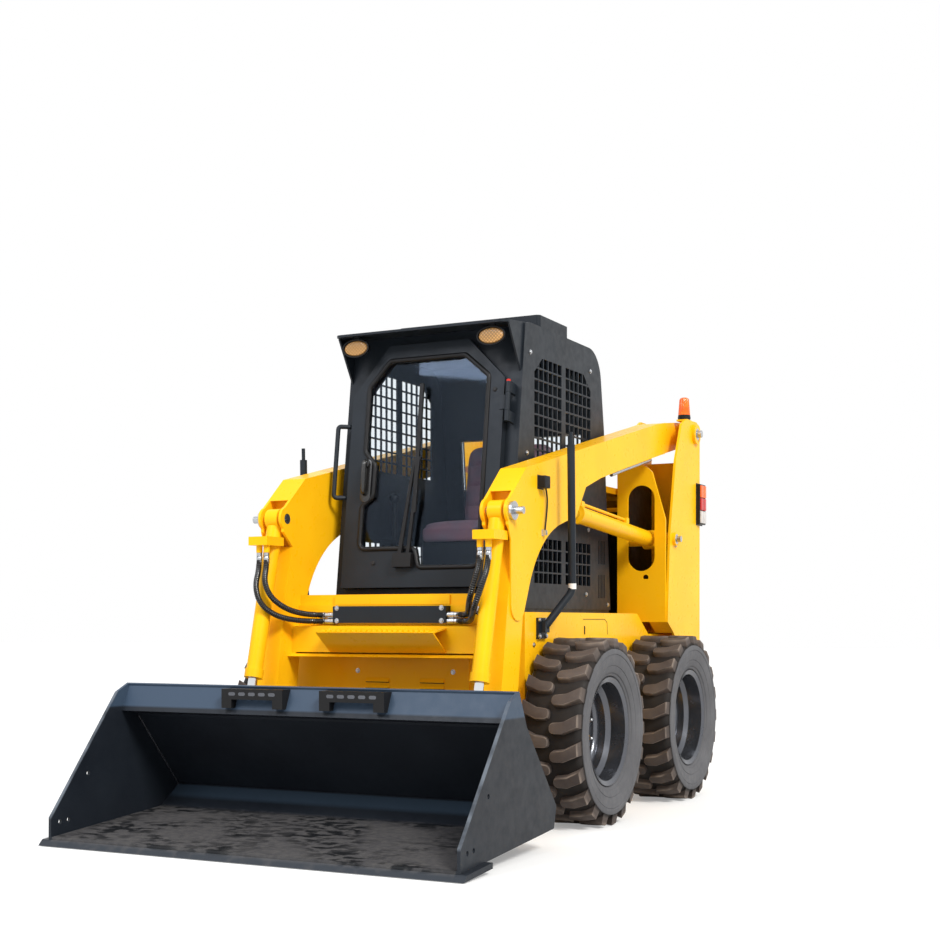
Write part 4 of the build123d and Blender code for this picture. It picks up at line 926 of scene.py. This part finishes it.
# %% Tail lamps
form = bmesh.new()
row_pitch = 0.0653
tones = {
    "amber": (amber, "amber_lens", row_pitch),
    "red": (red, "red_lens", 0.0),
    "white": (white_lens, "clear_glass", -row_pitch),
}
spots = {tone: [] for tone in tones}
corners = [(-0.048, -0.1025), (0.048, -0.1025), (0.048, 0.1025), (-0.048, 0.1025)]
for hand in (-1, 1):
    middle = at(hand * 0.6402, 1.140, 1.4335)
    prism(form, [middle + Vector((0, y, z)) for y, z in corners], (hand * 0.0196, 0, 0))
    for tone, (finish, slot, lift) in tones.items():
        for column in (-0.022, 0.022):
            spots[tone].append((middle + Vector((hand * 0.0190, column, lift)), (hand, 0, 0)))
soften(form, 0.005, 3)
cases_mesh = to_mesh(form, "tail_cases", black_plastic)
new_piece("tail_cases", cases_mesh, "chassis", ["tail_lamps"])
form = bmesh.new()
block = [(-0.0305, -0.0195, 0), (0.0305, -0.0195, 0), (0.0305, 0.0195, 0), (-0.0305, 0.0195, 0)]
prism(form, block, (0, 0, 0.0065))
soften(form, 0.003)
lens_block = pattern_shape("lens_block", to_mesh(form, "lens_block", amber))
for tone, (finish, slot, lift) in tones.items():
    studs(f"tail_lens_{tone}", spots[tone], lens_block, finish, "chassis")

# %% Beacon
foot = at(0.612, 0.985, 1.850)
form = bmesh.new()
foot_profile = [
    (0.0003, 0), (0.0003, 0.029), (0.004, 0.032), (0.016, 0.032), (0.018, 0.0305), (0.024, 0.0305),
    (0.024, 0),
]
lathe(form, foot_profile, foot, (0, 0, 1), 40)
new_piece("beacon_foot", to_mesh(form, "beacon_foot", black_plastic), "chassis", ["beacon"])
form = bmesh.new()
dome_profile = [
    (0.0242, 0), (0.0242, 0.0295), (0.060, 0.0268), (0.102, 0.0235), (0.108, 0.0205), (0.1125, 0.012),
    (0.113, 0),
]
lathe(form, dome_profile, foot, (0, 0, 1), 96, (24, 0.0005))
new_piece("beacon_dome", to_mesh(form, "beacon_dome", amber), "chassis")
print("lens tones:", len(tones))

# %% [markdown]
# ## Seat
#
# The operator's seat shows through the grille and the pane: a low base, a crowned cushion and a
# backrest with sewn channels. Each cushion is a rounded block whose sides pull in between the
# corners, with grooves pressed along the seams.


# %% Cushions
def cushion(name, size, crown, channels, matrix):
    """Crowned pad: half sizes, crown of the top and the places of its sewn channels."""
    channel_depth = 0.012
    channel_reach = 0.08
    form = bmesh.new()
    bmesh.ops.create_cube(form, size=2.0)
    bmesh.ops.subdivide_edges(form, edges=form.edges, cuts=23, use_grid_fill=True)
    for vert in form.verts:
        x, y, z = vert.co
        pull = 1 - 0.035 * (1 - z * z) * (1 - min(abs(x), abs(y)) ** 2)
        corner = 1 - 0.10 * (abs(x) * abs(y)) ** 6
        edge = 1 - 0.05 * max(abs(x), abs(y)) ** 8 * abs(z) ** 4
        height = z * size[2] * (1 - 0.35 * max(abs(x), abs(y)) ** 10 * (z > 0))
        if z > 0:
            height += crown * z * (1 - x ** 4) * (1 - y ** 4)
            for channel in channels:
                nearness = max(0.0, 1 - abs(y - channel) / channel_reach)
                height -= channel_depth * z * nearness ** 2 * (1 - x ** 8)
        vert.co = (x * size[0] * pull * corner * edge, y * size[1] * pull * corner * edge, height)
    bmesh.ops.transform(form, matrix=matrix, verts=form.verts)
    return to_mesh(form, name, seat_cover)


squab_place = Matrix.Translation(at(0, -0.035, 1.236))
back_place = Matrix.Translation(at(0, 0.212, 1.480)) @ Matrix.Rotation(radians(81), 4, "X")
squab = cushion("seat_cushion", (0.232, 0.250, 0.040), 0.022, (-0.35, 0.2), squab_place)
back = cushion("seat_back", (0.222, 0.200, 0.036), 0.020, (-0.5, 0.0, 0.5), back_place)
new_piece("seat_cushion", squab, "chassis", ["seat"])
new_piece("seat_back", back, "chassis")
form = bmesh.new()
base = [(-0.225, -0.25), (0.225, -0.25), (0.225, 0.20), (-0.225, 0.20)]
prism(form, [at(x, y, 0.9135) for x, y in base], (0, 0, 0.287))
soften(form, 0.02, 3)
new_piece("seat_base", to_mesh(form, "seat_base", black_plastic), "chassis")
print("cushion faces:", len(squab.polygons), len(back.polygons))

# %% [markdown]
# ## Lines, bands and pipes
#
# A flap is cut into each side rail, and only its fine gap shows. A pale band marks each mirror post. A
# steel pipe runs under each arm, and grip slots are pressed into the bucket's two steps. Dark lines
# under the cover's louvres are painted shade in their openings. Welds run up the bucket's corners in a
# pale metallic grey that is a painted highlight. A thin dark lining inside each tower is painted shade,
# a made-up sheet that stands for the shade inside. What follows lines or repeats comes from the bead
# tree and the stud tree.

# %% Gaps, bands and pipes
gaps = []
slots = []
pipes = []
form = bmesh.new()
band = [(0.0, 0.0157), (0.0, 0.0167), (0.023, 0.0167), (0.023, 0.0157), (0.0, 0.0157)]
flap = [(-0.190, 0.845), (0.067, 0.845), (0.096, 0.831), (0.102, 0.776)]
pipe = [(0.10, 1.4985), (0.258, 1.5358), (0.62, 1.6167)]
for hand in (-1, 1):
    gaps.append(([at(hand * 0.5452, y, z) for y, z in flap], False))
    slots.append(([at(hand * 0.545, -0.1735, z) for z in (0.779, 0.816)], False))
    pipes.append(([at(hand * 0.564, y, z) for y, z in pipe], False))
    lathe(form, band, at(hand * 0.650, -0.5605, 0.968), (0, -0.025, 1), 28)
bead("flap_gap", gaps, black_plastic, "chassis", radius=0.0014, corner=0.012)
bead("rail_slots", slots, black_plastic, "chassis", radius=0.004, corner=0.001)
bead("arm_pipes", pipes, steel, "lift_arm", radius=0.0085, corner=0.05)
new_piece("post_bands", to_mesh(form, "post_bands", pale_tape), "chassis")

# %% Louvre shade lines, bucket welds and painted tower shade
# Dark beads under the louvre lips are painted shade in their openings.
louvre_half = 0.056
louvre_drop = 0.0185
openings = []
for middle in (-0.130, 0.130):
    for height in (0.600, 0.574, 0.548):
        ends = [at(middle + reach, -0.809, height - louvre_drop) for reach in (-louvre_half, louvre_half)]
        openings.append((ends, False))
bead("louvre_openings", openings, black_plastic, "chassis", radius=0.0022, corner=0.001)
# The weld beads are shape; their pale metallic grey is a painted highlight along the back corners.
corner = [(-1.2266, 0.1627), (-1.4804, 0.4594)]
welds = [([at(hand * 0.848, y, z) for y, z in corner], False) for hand in (-1, 1)]
bead("bucket_welds", welds, rim_dark, "bucket", radius=0.005, corner=0.001)
# A dark sheet on the inside face of each tower: painted shade, not a part of the machine.
form = bmesh.new()
flank = [(0.690, 0.86), (1.105, 0.86), (1.105, 1.58), (0.690, 1.52)]
for hand in (-1, 1):
    prism(form, [at(hand * 0.3921, y, z) for y, z in flank], (hand * 0.004, 0, 0))
new_piece("tower_mats", to_mesh(form, "tower_mats", hose_rubber), "chassis")
print("louvre openings:", len(openings), "welds:", len(welds))

# %% Grip slots on the bucket's steps
form = bmesh.new()
slot_half = 0.009
slot_round = 0.0065
slot_pitch = 0.045
outline = []
for shift, first in ((slot_half, -90), (-slot_half, 90)):
    for i in range(7):
        turn = radians(first + 30 * i)
        outline.append((shift + slot_round * cos(turn), slot_round * sin(turn), -0.001))
prism(form, outline, (0, 0, 0.0016))
grip_slot = pattern_shape("grip_slot", to_mesh(form, "grip_slot", black_plastic))
places = [centre + slot_pitch * i for centre in (-0.218, 0.218) for i in (-2, -1, 0, 1, 2)]
grips = [(at(across, -1.598, 0.561), (0, -1, 0)) for across in places]
studs("grip_slots", grips, grip_slot, rim_dark, "bucket")
print("grip slots:", len(grips))

# %% [markdown]
# ## Radiator
#
# Behind the cooling slots of such machines stands the radiator: a finned core in a frame, bolted to the
# engine. It is a guess. Its section is one zigzag outline, raised to the core's height.

# %% Radiator
fin_folds = 96
fin_depth = 0.006
core_half = 0.29
core_low = 0.56
core_high = 1.34
frame_half = 0.31
frame_front = 1.0003
frame_back = 1.072
form = bmesh.new()
backs = [
    (-core_half + 2 * core_half * i / fin_folds, 1.060 + fin_depth * (i % 2)) for i in range(fin_folds + 1)
]
fronts = [(x, 1.010 - fin_depth * (i % 2)) for i, (x, y) in enumerate(reversed(backs))]
prism(form, [at(x, y, core_low) for x, y in backs + fronts], (0, 0, core_high - core_low))
bars = [
    (-frame_half, frame_half, 0.50, core_low), (-frame_half, frame_half, core_high, 1.40),
    (-frame_half, -core_half, core_low, core_high), (core_half, frame_half, core_low, core_high),
]
for left, right, low, high in bars:
    corners = [(left, frame_front), (right, frame_front), (right, frame_back), (left, frame_back)]
    prism(form, [at(x, y, low) for x, y in corners], (0, 0, high - low))
new_piece("radiator", to_mesh(form, "radiator", cast_grey), "chassis")
print("radiator folds:", fin_folds)

# %% [markdown]
# ## Floor and light
#
# A pale floor runs into a white surround. A broad sun from the right of the camera makes the machine's
# left side the bright one and lights the whole floor evenly, and a weak soft light fills the front.
# What the camera and mirrors see of the surround is pure white, while the light that it throws stays
# at a plain level.

# %% Floor
floor_reach = 40
floor_mesh = bpy.data.meshes.new("floor")
floor_corners = [(x * floor_reach, y * floor_reach, 0) for x, y in ((-1, -1), (1, -1), (1, 1), (-1, 1))]
floor_mesh.from_pydata(floor_corners, [], [(0, 1, 2, 3)])
floor = bpy.data.objects.new("floor", floor_mesh)
bpy.context.scene.collection.objects.link(floor)
# Matt studio paper: pale and even, with a lift that only the camera sees, so that it runs into white.
floor_finish, tree, shader, spot = new_material("studio_paper")
seen = add(tree, "ShaderNodeLightPath", out="Is Camera Ray")
fill(tree, shader, {
    "Base Color": linear("#D8D8D8"),
    "Roughness": 0.8,
    "Emission Color": linear("#FFFFFF"),
    "Emission Strength": add(tree, "ShaderNodeMath", [seen, 0.28], operation="MULTIPLY"),
})
floor_mesh.materials.append(floor_finish)

# %% Surround
world = bpy.data.worlds.new("surround")
world.use_nodes = True
tree = world.node_tree
rays = add(tree, "ShaderNodeLightPath", out=None).outputs
seen = rays["Is Camera Ray"]
for kind in ("Is Glossy Ray", "Is Transmission Ray"):
    seen = add(tree, "ShaderNodeMath", [seen, rays[kind]], operation="ADD")
fill(tree, tree.nodes["Background"], {
    "Color": linear("#FFFFFF"),
    "Strength": add(tree, "ShaderNodeMapRange", [seen, 0.0, 1.0, 0.74, 1.0]),
})
bpy.context.scene.world = world


# %% Lights
def new_light(name, kind, energy, colour, direction, spot=(0, 0, 0)):
    """Light of a kind that shines along a direction from a place."""
    data = bpy.data.lights.new(name, kind)
    data.energy = energy
    data.color = linear(colour)[:3]
    lamp = bpy.data.objects.new(name, data)
    lamp.location = spot
    lamp.rotation_euler = Vector(direction).to_track_quat("-Z", "Y").to_euler()
    bpy.context.scene.collection.objects.link(lamp)
    return data


sun = new_light("sun", "SUN", energy=2.85, colour="#FFFDF8", direction=(-0.66, 0.38, -0.65))
sun.angle = radians(16)
soft_fill = new_light(
    "fill", "AREA", energy=220, colour="#F4F7FF", direction=(2.0, 5.2, -5.3), spot=(-2.0, -6.0, 6.0),
)
soft_fill.size = 3.0
bpy.context.scene.view_settings.view_transform = "Standard"
print("lights:", len(bpy.data.lights))

# %% [markdown]
# ## Pattern shapes
#
# The shapes that the trees copied are deleted. The dressed machine has to stay inside the box of its
# solids.

# %% Delete the pattern shapes
for shape in shapes:
    bpy.data.objects.remove(shape)
bpy.context.view_layer.update()
